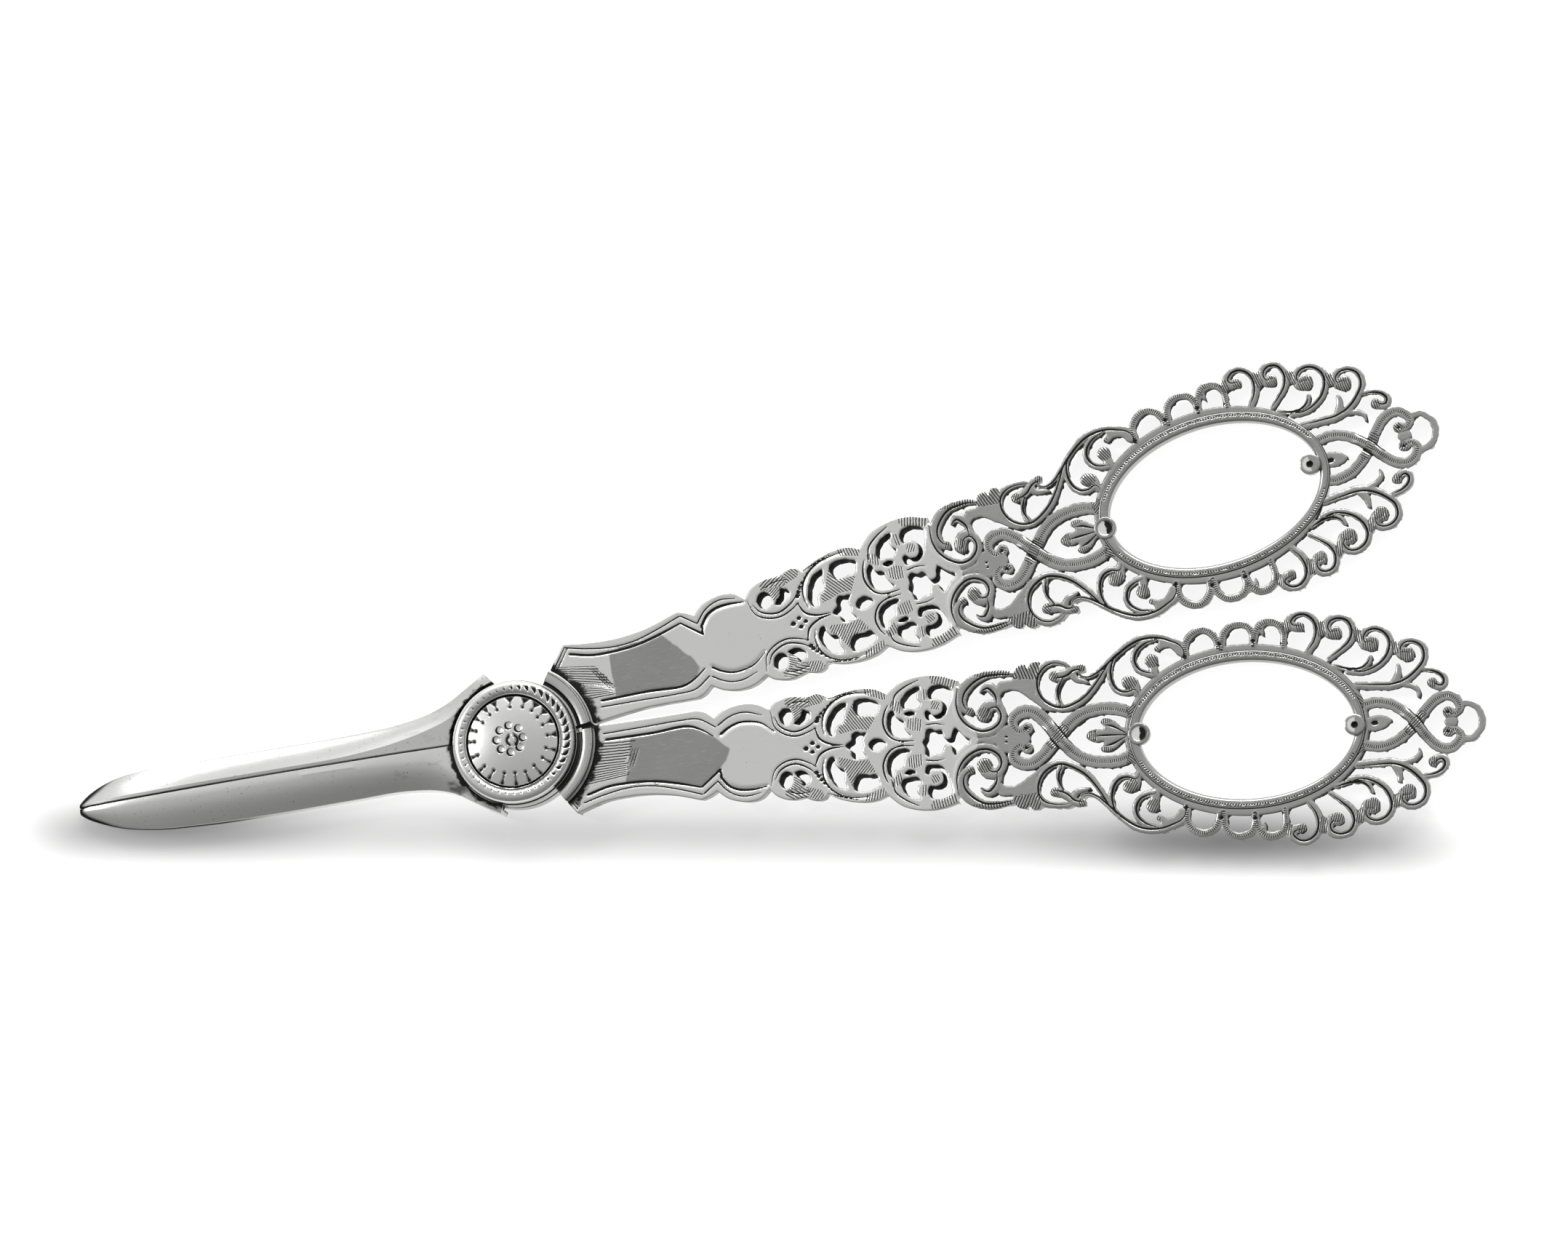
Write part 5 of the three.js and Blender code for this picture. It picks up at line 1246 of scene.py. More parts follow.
def sawn_wall():
    """The side of a sawn hole, never polished and black with age."""
    material, tree, shader = new_material("sawn_wall")
    marks = ramp(tree, noise(tree, 900, 3, (1, 1, 0.12)), 0.45, 0.7)
    tree.links.new(mix_colour(tree, marks, BLACKENED, grey(0.07)), shader.inputs["Base Color"])
    shader.inputs["Roughness"].default_value = 0.85
    shader.inputs["Specular IOR Level"].default_value = 0.1
    return material


def filed_edge():
    """The outer edge, filed and rubbed by hands."""
    material, tree, shader = new_material("filed_edge")
    marks = ramp(tree, noise(tree, 700, 3, (1, 1, 0.2)), 0.5, 0.72)
    finish_silver(tree, shader, grey(0.3), product(tree, marks, 0.35), 0.34)
    return material


def plain_back():
    material, tree, shader = new_material("plain_back")
    streak = ramp(tree, noise(tree, 400, 4, (0.15, 1, 1)), 0.4, 0.75)
    finish_silver(tree, shader, mix_colour(tree, streak, grey(0.5), grey(0.66)),
                  product(tree, streak, 0.12), 0.34)
    return material


handle_looks = [engraved_silver(), sawn_wall(), plain_back(), filed_edge()]
print([look.name for look in handle_looks])

# %% [markdown]
# ## The two handles
# Now the maps, the mesh and the materials come together. The polished panel of each handle gets a
# painted reflection: a darker patch with slanting ends, which is stored as one more map.

# %% Handles
# painted reflection: outlines of the darker patch on each grip's panel
REFLECTION_PATCH_TOP = [(17, 2.45), (20, 2.9), (21.5, 3.1), (23.2, 2.55)]
REFLECTION_PATCHES = {
    "lower": [(14.2, -1), (14.4, 2.1), *REFLECTION_PATCH_TOP, (24.6, 1.85), (26.6, 0.2), (26.2, -1.2),
              (25.2, -2.3), (23.2, -4.25), (20, -3.7), (17, -3.38), (13.8, -3.45)],
    "upper": [(13.3, -1), (13.1, 1.9), *REFLECTION_PATCH_TOP, (24, 1.6), (23.4, 0), (22.2, -1.5), (21.2, -2.8),
              (20.6, -3.8), (17, -3.38), (13.6, -3.4)],
}
bodies = {"lower": "back_half", "upper": "front_half"}


def attach(name, mesh, looks, body, slot, *nodes):
    """A finished piece: its looks, the body it moves with, and the plain nodes it stands for."""
    for look in looks:
        mesh.materials.append(look)
    thing = new_object(name, mesh)
    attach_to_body(thing, body)
    if nodes:
        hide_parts(*nodes)
    return thing


for name, handle in handles.items():
    loop = np.array(REFLECTION_PATCHES[name])
    where = window(loop, 1.0)
    handle["panel"] = np.full(U.shape, 1.0)
    handle["panel"][where] = loop_distance(loop, where)
    mesh = plate_mesh(f"{name}_handle_plate", handle)
    attach(f"{name}_handle_plate", mesh, handle_looks, bodies[name], "handle_silver", f"{name}_handle")

# %% [markdown]
# ## Rounded pieces from a profile
# The finger rings, the beads and the cap are all sheets bent round: a grid with one direction
# round the piece and the other across it. One helper makes the faces, and each piece only says
# where its points go. A second one joins loops of points in a row, for the blades and bolsters.

# %% Mesh helpers
# angles in degrees from which an edge stays sharp
RING_CREASE, BLADE_CREASE, BOLSTER_CREASE = 40, 14, 30


def solid_mesh(name, verts, faces, crease):
    """A smooth mesh with its faces outwards, and with sharp edges from an angle in degrees on."""
    mesh = bpy.data.meshes.new(name)
    mesh.from_pydata(verts, [], faces)
    shape = bmesh.new()
    shape.from_mesh(mesh)
    bmesh.ops.recalc_face_normals(shape, faces=shape.faces)
    shape.to_mesh(mesh)
    shape.free()
    smooth(mesh, crease)
    return mesh


def smooth(mesh, crease):
    mesh.polygons.foreach_set("use_smooth", [True] * len(mesh.polygons))
    mesh.set_sharp_from_angle(angle=math.radians(crease))


def lofted_mesh(name, sections, crease):
    """A mesh from sections[station, point], each a closed loop, joined in a row and closed at both ends."""
    stations, count = sections.shape[:2]
    faces = []
    for i in range(stations - 1):
        for k in range(count):
            m = (k + 1) % count
            faces.append((i * count + k, i * count + m, (i + 1) * count + m, (i + 1) * count + k))
    faces += [tuple(range(count)), tuple(range((stations - 1) * count, stations * count))]
    return solid_mesh(name, (sections.reshape(-1, 3) * MM).tolist(), faces, crease)


def full_turn(steps):
    """Angles once round, as a column."""
    return np.linspace(0, 2 * math.pi, steps, endpoint=False)[:, None]


def turned(radius, turn, level):
    """Points round the pivot's axis, for each angle and each step of a profile."""
    return np.stack(np.broadcast_arrays(radius * np.cos(turn), radius * np.sin(turn), level), -1)


def ring_mesh(name, points, closed_across=True, ends=(False, False)):
    """A mesh from points[around, across], closed round, and closed across or capped at its ends."""
    around, across = points.shape[:2]
    verts = [tuple(point) for point in (points.reshape(-1, 3) * MM).tolist()]
    faces = []
    for i in range(around):
        j = (i + 1) % around
        for k in range(across if closed_across else across - 1):
            m = (k + 1) % across
            faces.append((i * across + k, j * across + k, j * across + m, i * across + m))
    for end, column in zip(ends, (0, across - 1)):
        if end:
            middle_point = points[:, column].mean(0) * MM
            verts.append(tuple(middle_point.tolist()))
            for i in range(around):
                j = (i + 1) % around
                fan = (i * across + column, j * across + column, len(verts) - 1)
                faces.append(fan if column else fan[::-1])
    return solid_mesh(name, verts, faces, RING_CREASE)


def store(mesh, label, values):
    """A map on the mesh's points. The middle points of the caps get the last value."""
    values = np.asarray(values, np.float32).reshape(-1)
    full = np.zeros(len(mesh.vertices), np.float32)
    full[: len(values)] = values
    if len(values) < len(full):
        full[len(values):] = values[-1]
    mesh.attributes.new(label, "FLOAT", "POINT").data.foreach_set("value", full)


print("edges stay sharp from", RING_CREASE, "degrees on rings and", BLADE_CREASE, "on blades")

# %% [markdown]
# ## Trim silver
# The trim is brighter than the bows: plain polished silver, black in its nicks and in a few places of painted
# shade. It reads the same kind of map, called "cuts", with the distance to the nearest nick or patch of
# painted shade, and a second map for the few spots painted bright as a highlight. A map that a piece doesn't
# have reads as 0.

# %% Trim material
def trim_silver(name, level, roughness=0.2):
    material, tree, shader = new_material(name)
    dark = ramp(tree, stored(tree, "cuts"), 0.03, -0.05)
    tone = mix_colour(tree, noise(tree, 260, 3), grey(level), grey(level * 0.84))
    # painted highlight: the spots of the second map are painted near white
    finish_silver(tree, shader, mix_colour(tree, stored(tree, "painted_highlight"), tone, grey(0.98)), dark, roughness)
    return material


ring_silver = trim_silver("ring_silver", 0.42)
bead_silver = trim_silver("bead_silver", 0.42)
cap_silver = trim_silver("cap_silver", 0.74, 0.26)
print(ring_silver.name, bead_silver.name, cap_silver.name)

# %% [markdown]
# ## Finger rings and beads
# An oval ring lines each finger opening. Its inner edge is rounded for the finger, its top is
# plain, and a milling wheel has rolled a row of fine dashes along it. A small lip covers the joint
# to the plate. The dashes are spread by length along the oval, not by angle, or they would crowd
# at its ends, and they stop short of the bosses. A hollow boss sits at one end of the opening and
# a punched bead at the other.

# %% Finger rings
DASHES = 224
RING_FOOT = 0.05
RING_RISE = 0.15
# across from the opening, and level from the ring's top
RING_PROFILE = np.array([
    (0.0, -0.8), (0.03, -0.5), (0.1, -0.25), (0.2, -0.1), (0.33, 0.0), (0.5, 0.03), (0.68, 0.05),
    (0.74, 0.06), (0.8, 0.06), (0.85, 0.06), (0.9, 0.06), (0.95, 0.06), (1.0, 0.06), (1.05, 0.05),
    (1.09, 0.0), (1.13, -0.02), (1.17, 0.02), (1.24, 0.02), (1.3, -0.02), (1.35, -0.1), (1.4, -0.22),
    (1.2, -0.35),
])


def oval_turns(count, half_u, half_v):
    """Angles that part an oval into pieces of equal length."""
    fine = np.linspace(0, 2 * math.pi, 4001)
    lengths = np.hypot(half_u * np.sin(fine), half_v * np.cos(fine))
    run = np.concatenate([[0], np.cumsum((lengths[1:] + lengths[:-1]) / 2)])
    return np.interp(np.arange(count) / count * run[-1], run, fine)


def finger_ring(name, handle):
    steps = DASHES * 5
    turn = oval_turns(steps, *(OPENING + 0.8))[:, None]
    share = np.arange(steps)[:, None] / steps
    across, level = np.concatenate([[(0.3, 0)], RING_PROFILE, [(1.18, 0)]]).T
    u = BOW_CENTRE + (OPENING[0] + across) * np.cos(turn)
    v = (OPENING[1] + across) * np.sin(turn)
    wheel = np.mod(share * DASHES + 0.8 * across, 1.0)
    uneven = 0.03 * np.sin(61 * share * 2 * math.pi) + 0.02 * np.sin(23 * share * 2 * math.pi)
    dash = np.maximum((np.abs(wheel - 0.5) - 0.27) * 0.33, np.abs(across - 0.9) - 0.12 + uneven)
    plain = np.min([np.hypot(u - boss, v) for boss in handle["bosses"]], axis=0) < 3.4
    dash = np.where(plain, 1.0, dash)
    z = plate_top(u) + RING_RISE + level - 0.06 * (1 - ease(dash / 0.06)) * (across > 0.7) * (across < 1.07)
    z[:, [0, -1]] = RING_FOOT
    points = to_row(handle, u.ravel(), v.ravel(), z.ravel()).reshape(steps, -1, 3) / MM
    mesh = ring_mesh(name, points)
    groove = np.minimum(np.abs(across - 1.11) - 0.03, np.abs(across - 1.38) - 0.08)
    store(mesh, "cuts", np.where((across > 0.1) & (level > -0.3), np.minimum(dash, groove), 1))
    return mesh


BEAD_STEPS = 64
# out from the middle and up, in millimetres
HOLLOW_BOSS = [(1.38, 1.9), (1.38, 2.6), (1.35, 2.68), (1.28, 2.72), (1.12, 2.72), (1.03, 2.7),
               (0.97, 2.62), (0.92, 2.56), (0.86, 2.54), (0.75, 2.53), (0.6, 2.52), (0.45, 2.52),
               (0.3, 2.52), (0.15, 2.52), (0.05, 2.52)]
PUNCHED_BEAD = [(1.3, 1.7), (1.3, 2.5), (1.27, 2.6), (1.2, 2.64), (1.0, 2.66), (0.8, 2.66),
                (0.6, 2.66), (0.46, 2.66), (0.4, 2.6), (0.35, 2.4), (0.2, 2.3), (0.05, 2.3)]


def bead(name, handle, u, profile, tarnish_and_shade):
    turn = full_turn(BEAD_STEPS)
    out, level = np.array(profile).T
    across, up = out * np.cos(turn), out * np.sin(turn)
    points = to_row(handle, (u + across).ravel(), up.ravel(), np.tile(level, BEAD_STEPS))
    points = points.reshape(BEAD_STEPS, -1, 3) / MM
    mesh = ring_mesh(name, points, closed_across=False, ends=(True, True))
    store(mesh, "cuts", tarnish_and_shade(across, up))
    # painted highlight on the half of the boss that faces the pivot
    store(mesh, "painted_highlight", (np.hypot(across, up) < 0.97) & (across < 0.05))
    return mesh


def hollow_painted_shade(across, up):
    """Painted shade: the hollow is black on the side away from the pivot."""
    ragged = 0.08 * np.sin(7 * up + 1) + 0.05 * np.sin(17 * up)
    return np.maximum(np.hypot(across, up) - 0.9, 0.08 - across + ragged)


def punch_tarnish(across, up):
    return np.hypot(across, up) - 0.38


for side, handle in handles.items():
    attach(f"{side}_finger_ring", finger_ring(f"{side}_finger_ring", handle), [ring_silver], bodies[side],
           "trim_silver", f"{side}_bow_liner")
    near, far = handle["bosses"]
    for end, u, profile, tarnish_and_shade in (("near", near, HOLLOW_BOSS, hollow_painted_shade),
                                     ("far", far, PUNCHED_BEAD, punch_tarnish)):
        name = f"{side}_{end}_boss"
        ready = bead(name, handle, u, profile, tarnish_and_shade)
        attach(name, ready, [bead_silver], bodies[side], "trim_silver", f"{side}_{end}_bead")
print("dashes on each ring:", DASHES)

# %% [markdown]
# ## Jaws
# Each jaw is forged: a ridge runs down its length, the face slopes away to a thin outer edge, and
# the root flares into a shoulder beside the pivot. Sections across the blade at a few stations are
# joined by smooth curves. The back blade carries a ledge that the front blade closes onto, so only
# a hairline shows between them.

# %% Blade stations
JAW_TOP, LAP_TOP, FRONT_LAP_FOOT = 4.0, 1.8, 2.2
SEAT_RADIUS, FLOOR_GAP = 8.2, 0.02
# places across at every 55th of a blade: from the pivot, seam, ridge, outer edge, ledge, three heights
BLADE_LENGTH = 56
BACK_STATIONS = [
    (54.6, 0.3, 0.55, 0.85, 0.1, 0.3, 0.3, 0.25), (54, 0.33, 0.65, 1.4, 0.3, 0.36, 0.37, 0.28),
    (52, 0.36, 0.8, 2.6, 0.7, 0.48, 0.49, 0.32), (50, 0.4, 0.9, 3.3, 1, 0.56, 0.57, 0.36),
    (46, 0.45, 0.95, 3.85, 1, 0.66, 0.68, 0.4), (40, 0.55, 1.05, 3.95, 1, 0.75, 0.78, 0.42),
    (30, 0.7, 1.2, 4.15, 1, 0.85, 0.88, 0.46), (20, 0.8, 1.5, 4.35, 1, 0.92, 0.95, 0.5),
    (14, 0.85, 2.3, 4.75, 1, 0.96, 0.98, 0.56), (10, 0.85, 3.3, 5.55, 1, 0.98, 0.99, 0.64),
    (8, 0.85, 4, 6.3, 1, 1, 1, 0.7), (6, 0.85, 5.2, 7.4, 1, 1, 1, 0.78),
    (4.4, 0.85, 6.3, 8.35, 1, 1, 1, 0.84),
]
FRONT_STATIONS = [
    (54.6, 0.3, -0.15, -0.45, 0.1, 0.3, 0.3, 0.25), (54, 0.33, -0.15, -0.95, 0.3, 0.36, 0.37, 0.28),
    (52, 0.36, -0.15, -2, 0.7, 0.48, 0.49, 0.32), (50, 0.4, -0.12, -2.75, 1, 0.56, 0.57, 0.36),
    (46, 0.45, -0.1, -3.55, 1, 0.66, 0.68, 0.4), (40, 0.55, -0.1, -3.95, 1, 0.75, 0.78, 0.42),
    (30, 0.7, -0.08, -4, 1, 0.85, 0.88, 0.46), (20, 0.8, -0.05, -3.8, 1, 0.92, 0.95, 0.5),
    (14, 0.85, -0.35, -3.75, 1, 0.96, 0.98, 0.56), (10, 0.85, -0.85, -4.35, 1, 0.98, 0.99, 0.64),
    (8, 0.85, -2.3, -5.1, 1, 1, 1, 0.7), (6, 0.85, -4.4, -6.4, 1, 1, 1, 0.78),
    (4.4, 0.85, -5.9, -7.45, 1, 1, 1, 0.84),
]
SIDE_SLANT, UNDERCUT = 0.12, 0.1
BULGE = {1: -0.08, -1: 0.2}
SHOULDERS = {1: ((-2.9, 9.2), (-1.7, 7.6)), -1: ((-2.7, -8.45), (-2.3, -7.3))}


def stations_of(table, side):
    """Ledge, seam, ridge and outer edge of each station in plan, and its three heights."""
    rows = []
    column = BLADE_LENGTH / 55
    for back, seam, ridge, outer, ledge, low, mid, high in table:
        back *= column
        seam_at = seam + side * 0.09
        ledge_at = seam_at - ledge * 1.1 - (0.3 if side < 0 else 0)
        across = [(-back, place) for place in (ledge_at, seam_at, ridge, outer)]
        rows.append([*across, (low, mid), (high, 0)])
    tip, beside = np.array(SHOULDERS[side]) * (column, 1)
    inward = (beside - tip) / np.linalg.norm(beside - tip)
    rows.append([tuple(tip + 7.8 * inward), tuple(tip + 7.5 * inward), tuple(tip + 1.4 * inward), tuple(tip),
                 (1, 1), (0.9, 0)])
    return np.array(rows)


def fine_stations(rows, count=90):
    """The stations again, closer together, each number on a smooth curve through the coarse ones."""
    along = np.concatenate([[0], np.cumsum(np.linalg.norm(np.diff(rows[:, 3], axis=0), axis=1))])
    out = np.empty((count, *rows.shape[1:]))
    target = np.linspace(0, along[-1], count)
    for index in np.ndindex(rows.shape[1:]):
        knots = rows[(slice(None), *index)]
        slope = np.gradient(knots, along)
        k = np.clip(np.searchsorted(along, target) - 1, 0, len(along) - 2)
        h = along[k + 1] - along[k]
        t = (target - along[k]) / h
        out[(slice(None), *index)] = (
            (2 * t**3 - 3 * t**2 + 1) * knots[k] + (t**3 - 2 * t**2 + t) * h * slope[k]
            + (3 * t**2 - 2 * t**3) * knots[k + 1] + (t**3 - t**2) * h * slope[k + 1])
    return out


print("stations:", len(BACK_STATIONS), "and", len(FRONT_STATIONS))

# %% [markdown]
# At each station the numbers give one closed loop: along the ledge, up the seam, over the ridge
# and down to the outer edge. The loops are joined in a row. Then one Boolean takes out the round
# seat of the other jaw's lap, since a cylinder cuts across all loops at once.

# %% Blade meshes
def blade_sections(table, side):
    """Each section as a closed loop of points, from the ledge over the ridge to the outer edge."""
    sections = []
    for ledge, seam, ridge, outer, (low, mid), (high, _) in fine_stations(stations_of(table, side)):
        mid, high = JAW_TOP * mid, JAW_TOP * high
        low = min(JAW_TOP * low + 0.08, mid - 0.02)
        step = low * LAP_TOP / JAW_TOP + (0.3 if side < 0 else 0)
        width = max(np.linalg.norm(outer - ridge), 0.01)
        foot = outer + (ridge - outer) * min(UNDERCUT / width, 0.35)
        loop = [(*foot, 0), (*ledge, 0), (*ledge, step), (*seam, step), (*seam, low - 0.06)]
        toward = seam + (ridge - seam) * min(1, 0.08 / max(np.linalg.norm(ridge - seam), 0.08))
        loop.append((*toward, low))
        top = outer + (ridge - outer) * min(SIDE_SLANT / width, 0.4)
        for share in np.linspace(0, 1, 9):
            bulge = BULGE[side] * math.sin(math.pi * share) * (mid - high)
            loop.append((*(ridge + (top - ridge) * share), mid + (high - mid) * share + bulge))
        loop += [(*(top + (outer - top) * 0.6), high - 0.05), (*outer, high - 0.2)]
        sections.append(loop)
    return np.array(sections)


def cylinder(radius, low, high, steps=160):
    points = turned(radius, full_turn(steps), np.array([low, high]))
    return ring_mesh("cutter", points, closed_across=False, ends=(True, True))


def blade_mesh(name, table, side, groove):
    """A blade with the seat of the other jaw's lap cut out between two heights."""
    mesh = lofted_mesh(name, blade_sections(table, side), BLADE_CREASE)
    blade, cutter = new_object(name + "_raw", mesh), new_object("cutter", cylinder(SEAT_RADIUS, *groove))
    cut = blade.modifiers.new("groove", "BOOLEAN")
    cut.operation, cut.object, cut.solver = "DIFFERENCE", cutter, "EXACT"
    ready = bpy.data.meshes.new_from_object(blade.evaluated_get(bpy.context.evaluated_depsgraph_get()))
    for thing in (blade, cutter):
        bpy.data.objects.remove(thing)
    ready.name = name
    smooth(ready, BLADE_CREASE)
    print(name, "has", len(ready.polygons), "faces")
    return ready


def from_pivot(tree):
    """A place's x and z, and its distance from the pivot's axis."""
    place = put(tree, "ShaderNodeTexCoord").outputs["Object"]
    x, y, z = put(tree, "ShaderNodeSeparateXYZ", Vector=place).outputs
    flat = put(tree, "ShaderNodeCombineXYZ", X=x, Y=y).outputs[0]
    return x, z, put(tree, "ShaderNodeVectorMath", set_operation="LENGTH", _0=flat).outputs["Value"]


def jaw_silver(name, level, stained):
    """Mirror silver with hair scratches, pits, painted shade beside the cap, and black under the outer edge.
    """
    material, tree, shader = new_material(name)
    x, z, radius = from_pivot(tree)
    pits = product(tree, ramp(tree, noise(tree, 3200, 2), 0.66, 0.74), 0.6)
    blotches = ramp(tree, noise(tree, 420, 4, (0.5, 1, 1)), 0.55, 0.68)
    patches = product(tree, blotches, ramp(tree, x, -24 * MM, -8 * MM), stained)
    # painted shade: the jaw goes black in a ragged ring round the cap
    ragged = total(tree, radius, product(tree, noise(tree, 1300, 3), 1.2 * MM))
    shade_beside_cap = ramp(tree, ragged, 9.2 * MM, 8.7 * MM)
    under_edge = product(tree, ramp(tree, z, 1.6 * MM, 1.3 * MM), ramp(tree, x, -31 * MM, -38 * MM))
    tone = mix_colour(tree, noise(tree, 90, 3, (0.3, 1, 1)), grey(level), grey(0.82 * level))
    finish_silver(tree, shader, tone, darkest(tree, pits, patches, shade_beside_cap, under_edge), 0.2)
    return material


back_blade = blade_mesh("back_blade", BACK_STATIONS, 1, (LAP_TOP, 9))
front_blade = blade_mesh("front_blade", FRONT_STATIONS, -1, (-1, FRONT_LAP_FOOT))
back_look, front_look = jaw_silver("back_jaw_silver", 0.7, 0.3), jaw_silver("front_jaw_silver", 0.88, 0.8)
attach("back_blade", back_blade, [back_look], "back_half", "jaw_silver", "back_jaw")
attach("front_blade", front_blade, [front_look], "front_half", "jaw_silver", "front_jaw")

# %% [markdown]
# ## Laps and bolsters
# Behind the cap each jaw ends in a round lap, and beyond it the bolster is a raised arc of
# mouldings: a hollow, a flat band and a bright bead, where the handle is soldered on.

# %% Laps and bolsters
LAP_BORE, LAP_RADIUS, LAP_STEPS = 2.5, 7.8, 128
WEB_RADIUS = 6.5
# the mouldings, from the foot over the bead and the flat band to the hollow
BOLSTER_PROFILE = [
    (9.75, 0.02), (9.75, 3.5), (9.74, 3.74), (9.69, 3.9), (9.61, 3.97), (9.52, 3.92), (9.47, 3.82),
    (9.42, 3.78), (9.34, 3.79), (9.2, 3.8), (9.0, 3.8), (8.7, 3.78), (8.46, 3.7), (8.38, 3.4),
]
# black rings on them, radius and half width: the fine outer one lies in the crease by the bead, the wide
# inner one is painted shadow round the cap
DARK_RINGS = ((9.46, 0.03), (8.1, 0.33))


def lap(name, low, high):
    edge = LAP_RADIUS - 0.1
    profile = [(LAP_BORE, low), (edge, low), (LAP_RADIUS, low + 0.1), (LAP_RADIUS, high - 0.1), (edge, high),
               (LAP_BORE, high)]
    radius, level = np.array(profile).T
    mesh = ring_mesh(name, turned(radius, full_turn(LAP_STEPS), level))
    # painted shadow: the lap's top is black, where it shows round the cap
    store(mesh, "cuts", np.tile([1, 1, 1, 1, -1, -1], (LAP_STEPS, 1)))
    return mesh


def bolster(name, start, end, low, high, split):
    """An arc of moulding that reaches inwards to its lap, with one end painted black as shade in the gap
    where the bolsters meet.
    """
    turn = np.radians(np.linspace(start, end, 60))[:, None]
    web = [(SEAT_RADIUS, high), (WEB_RADIUS, high), (WEB_RADIUS, low), (SEAT_RADIUS, low),
           (SEAT_RADIUS, FLOOR_GAP)]
    radius, level = np.array([*BOLSTER_PROFILE, *web]).T
    mesh = lofted_mesh(name, turned(radius, turn, level), BOLSTER_CREASE)
    rings = np.min([np.abs(radius - middle) - half for middle, half in DARK_RINGS], axis=0)
    dark = np.tile(rings, (len(turn), 1))
    # painted shade: the end of the arc, in the gap between the bolsters, is black
    dark[split] = -1
    store(mesh, "cuts", dark)
    return mesh


bolster_silver = trim_silver("bolster_silver", 0.55, 0.26)
back_lap, front_lap = lap("back_lap", FLOOR_GAP, LAP_TOP), lap("front_lap", FRONT_LAP_FOOT, JAW_TOP)
lower_bolster = bolster("lower_bolster", -55.7, 3.7, FLOOR_GAP, LAP_TOP, -1)
upper_bolster = bolster("upper_bolster", 6.7, 58, FRONT_LAP_FOOT, JAW_TOP - 0.5, 0)
for mesh, body in ((back_lap, "back_half"), (front_lap, "front_half"),
                   (lower_bolster, "back_half"), (upper_bolster, "front_half")):
    attach(mesh.name, mesh, [bolster_silver], body, "jaw_silver")
print("laps and bolsters stand round the pivot")

# %% [markdown]
# ## The cap
# The cap is what everyone sees first. A crowned disc carries a ring of punch marks like keyholes
# and a flower of eight pressed hollows, set a little off its middle, and a rim with a row of nicks
# holds it. Both are grids round the pivot, fine enough that each mark is real relief. No two marks
# are alike: they are deep and wide on one side of the cap and mere pricks on the other.

# %% Cap disc and rim
CAP_BASE = 4.1
DISC_RADIUS, DISC_EDGE, DISC_CROWN = 5.65, 0.9, 0.6
RIM_INNER, RIM_OUTER = 5.85, 7.65
NICKS, PETALS = 44, 8
FLOWER, FLOWER_RADIUS, PETAL_RADIUS = (-0.3, 0.25), 1.66, 0.54
EYE, EYE_RADIUS = (0.01, 0.05), 0.66
# each drop's angle, how far out its head sits, and how wide it flares at the disc's edge
DROPS = [
    (1, 4.4, 0.3), (20, 4.2, 0.34), (36, 4.2, 0.42), (51, 4.4, 0.42), (67, 4.35, 0.45),
    (88, 4.25, 0.45), (110, 4.4, 0.3), (124, 4.4, 0.22), (141, 4.45, 0.14), (157, 4.8, 0.12),
    (173, 4.8, 0.1), (194, 4.7, 0.1), (214, 4.65, 0.12), (230, 4.3, 0.16), (249, 4.1, 0.18),
    (268, 4.0, 0.18), (286, 4.2, 0.16), (304, 4.15, 0.12), (323, 4.35, 0.1), (340, 4.3, 0.16),
]


def polar(radii, steps):
    """A radius and an angle for each point of a grid round the pivot."""
    return np.broadcast_arrays(np.asarray(radii, float), full_turn(steps))


def repeat_angle(turn, count, start=0.0):
    """Angle from the nearest of `count` evenly spaced marks."""
    share = 2 * math.pi / count
    return np.mod(turn - start + share / 2, share) - share / 2


def punched_drops(r, turn):
    """Distance to the keyhole marks that run in from the disc's edge."""
    nearest_mark = np.full(np.broadcast_shapes(r.shape, turn.shape), 3.0)
    for degrees, head_at, flare in DROPS:
        away = np.mod(turn - math.radians(degrees) + math.pi, 2 * math.pi) - math.pi
        side = np.where(np.abs(away) < 0.5, r * np.sin(away), 3.0)
        head = np.hypot(side, r - head_at) - 0.19
        half = 0.07 + flare * np.clip((r - 4.9) / 0.6, 0, 1)
        stem = np.maximum(np.abs(side) - half, np.abs(r - (head_at + 5.5) / 2) - (5.5 - head_at) / 2)
        nearest_mark = np.minimum(nearest_mark, np.minimum(stem, head))
    return nearest_mark


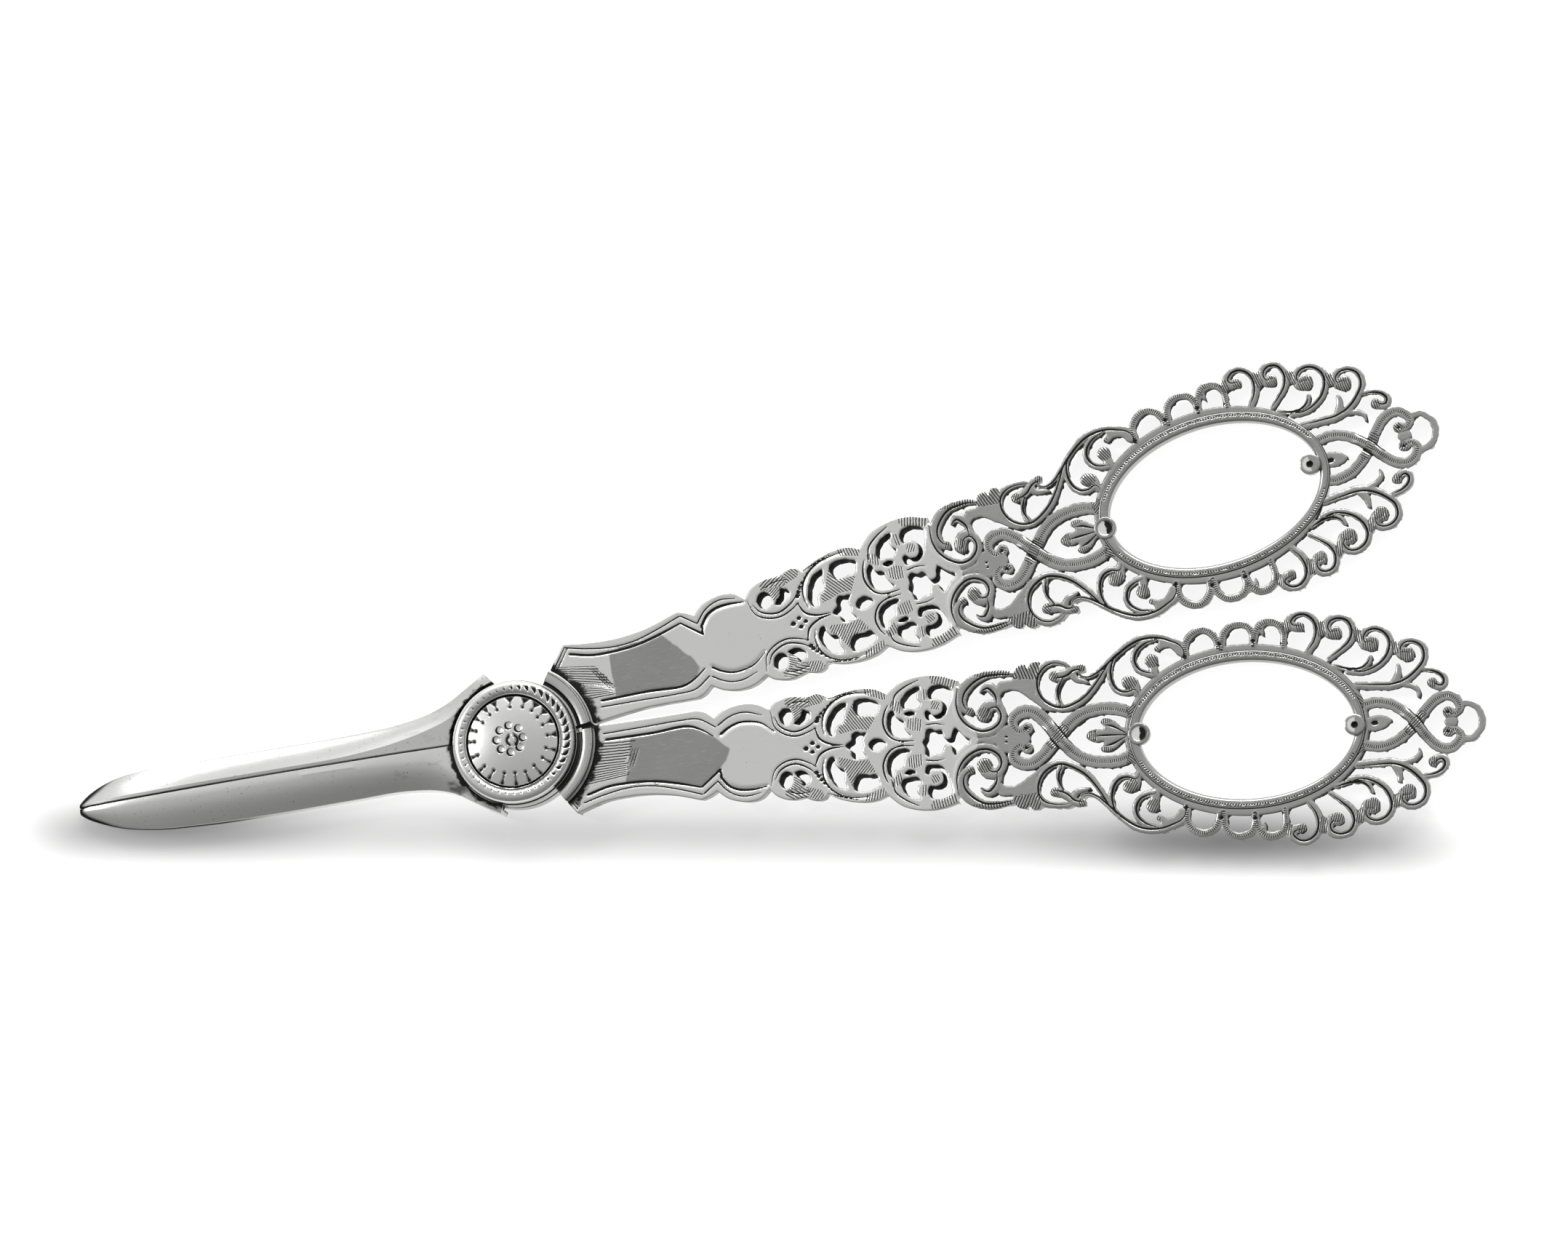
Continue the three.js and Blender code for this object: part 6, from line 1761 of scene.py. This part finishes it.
def disc_mesh():
    edge = [DISC_RADIUS, DISC_RADIUS, DISC_RADIUS - 0.08]
    radii = np.concatenate([edge, np.linspace(DISC_RADIUS - 0.16, 0.06, 80)])
    r, turn = polar(radii, 630)
    x, y = r * np.cos(turn), r * np.sin(turn)
    drop = punched_drops(r, turn)
    around = np.arctan2(y - FLOWER[1], x - FLOWER[0])
    petal_turn = repeat_angle(around, PETALS, -0.03)
    out = np.hypot(x - FLOWER[0], y - FLOWER[1])
    away, aside = out * np.cos(petal_turn) - FLOWER_RADIUS, out * np.sin(petal_turn)
    petal = np.hypot(away, aside) / PETAL_RADIUS
    facing = around - petal_turn
    dx, dy = away * np.cos(facing) - aside * np.sin(facing), away * np.sin(facing) + aside * np.cos(facing)
    shadow = np.maximum(petal * PETAL_RADIUS - PETAL_RADIUS, 0.43 - np.hypot(dx - 0.17, dy - 0.12))
    eye = np.hypot(x - EYE[0], y - EYE[1])
    crescent = np.maximum(np.abs(eye - EYE_RADIUS) - 0.16, 0.38 * EYE_RADIUS - np.abs(x - EYE[0]))
    marks = np.minimum(np.minimum(drop, crescent), shadow)
    crown = CAP_BASE + DISC_EDGE + DISC_CROWN * (1 - (r / DISC_RADIUS) ** 2)
    z = crown - 0.16 * (1 - ease(np.minimum(drop, crescent) / 0.12))
    z -= 0.14 * np.sqrt(np.clip(1 - petal**2, 0, 1))
    z += 0.07 * np.sqrt(np.clip(1 - (eye / EYE_RADIUS) ** 2, 0, 1))
    z[:, 0] = CAP_BASE
    z[:, 1] = CAP_BASE + DISC_EDGE - 0.1
    points = np.stack([x, y, z], -1)
    mesh = ring_mesh("cap_disc", points, closed_across=False, ends=(True, True))
    marks[:, :2] = -1
    store(mesh, "cuts", marks)
    return mesh


def rim_mesh():
    top = np.array([
        (RIM_INNER, 0.0), (RIM_INNER, 0.85), (5.86, 0.98), (5.92, 1.04), (5.98, 1.0), (6.04, 0.9),
        (6.1, 0.92), (6.2, 1.04), (6.35, 1.12), (6.5, 1.16), (6.62, 1.17), (6.74, 1.17),
        (6.86, 1.16), (6.98, 1.14), (7.1, 1.11), (7.22, 1.06), (7.34, 0.99), (7.45, 0.9),
        (7.54, 0.78), (7.61, 0.6), (RIM_OUTER, 0.4), (RIM_OUTER, 0.0),
    ])
    r, turn = polar(top[:, 0], NICKS * 20)
    bold = ease((np.cos(turn - 0.3) - 0.1) / 0.8)
    middle, half = 6.5 + 0.3 * bold, 0.13 + 0.25 * bold
    slant = r * repeat_angle(turn - (0.04 + 0.08 * bold) * (r - middle), NICKS, 0.05)
    nick = np.maximum(np.abs(slant) - (0.08 + 0.17 * bold) * np.clip(1.1 + (r - middle) / half, 0.3, 1.4),
                      np.abs(r - middle) - half)
    z = CAP_BASE + top[:, 1] - (0.06 + 0.07 * bold) * (1 - ease(nick / 0.1)) * (top[:, 1] > 0.95)
    mesh = ring_mesh("cap_rim", turned(r, turn, z))
    groove = np.abs(r - 6.06) - 0.045
    store(mesh, "cuts", np.where((top[:, 1] > 0.5) & (top[:, 0] > 5.87), np.minimum(nick, groove), 1))
    return mesh


attach("cap_disc", disc_mesh(), [cap_silver], "back_half", "trim_silver", "rosette_disc")
attach("cap_rim", rim_mesh(), [cap_silver], "back_half", "trim_silver", "milled_rim")
print("marks on the cap:", len(DROPS), "drops,", NICKS, "nicks and", PETALS, "petals")

# %% [markdown]
# ## Pin and washers
# The pin's tail and the washers keep their plain turned shapes and get dull, turned metal: fine
# rings round the pivot, made from the distance to its axis.

# %% Pin metal
def turned_metal():
    material, tree, shader = new_material("turned_metal")
    _, _, radius = from_pivot(tree)
    rings = math_node(tree, "PINGPONG", product(tree, radius, 6000.0), 0.5)
    tone = mix_colour(tree, rings, grey(0.42), grey(0.58))
    finish_silver(tree, shader, tone, product(tree, noise(tree, 500, 3), 0.25), 0.36)
    return material


dull = turned_metal()
for node in ("pivot_pin", "friction_washer", "back_washer"):
    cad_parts[node].data.materials.clear()
    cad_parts[node].data.materials.append(dull)
print("turned pieces dressed")
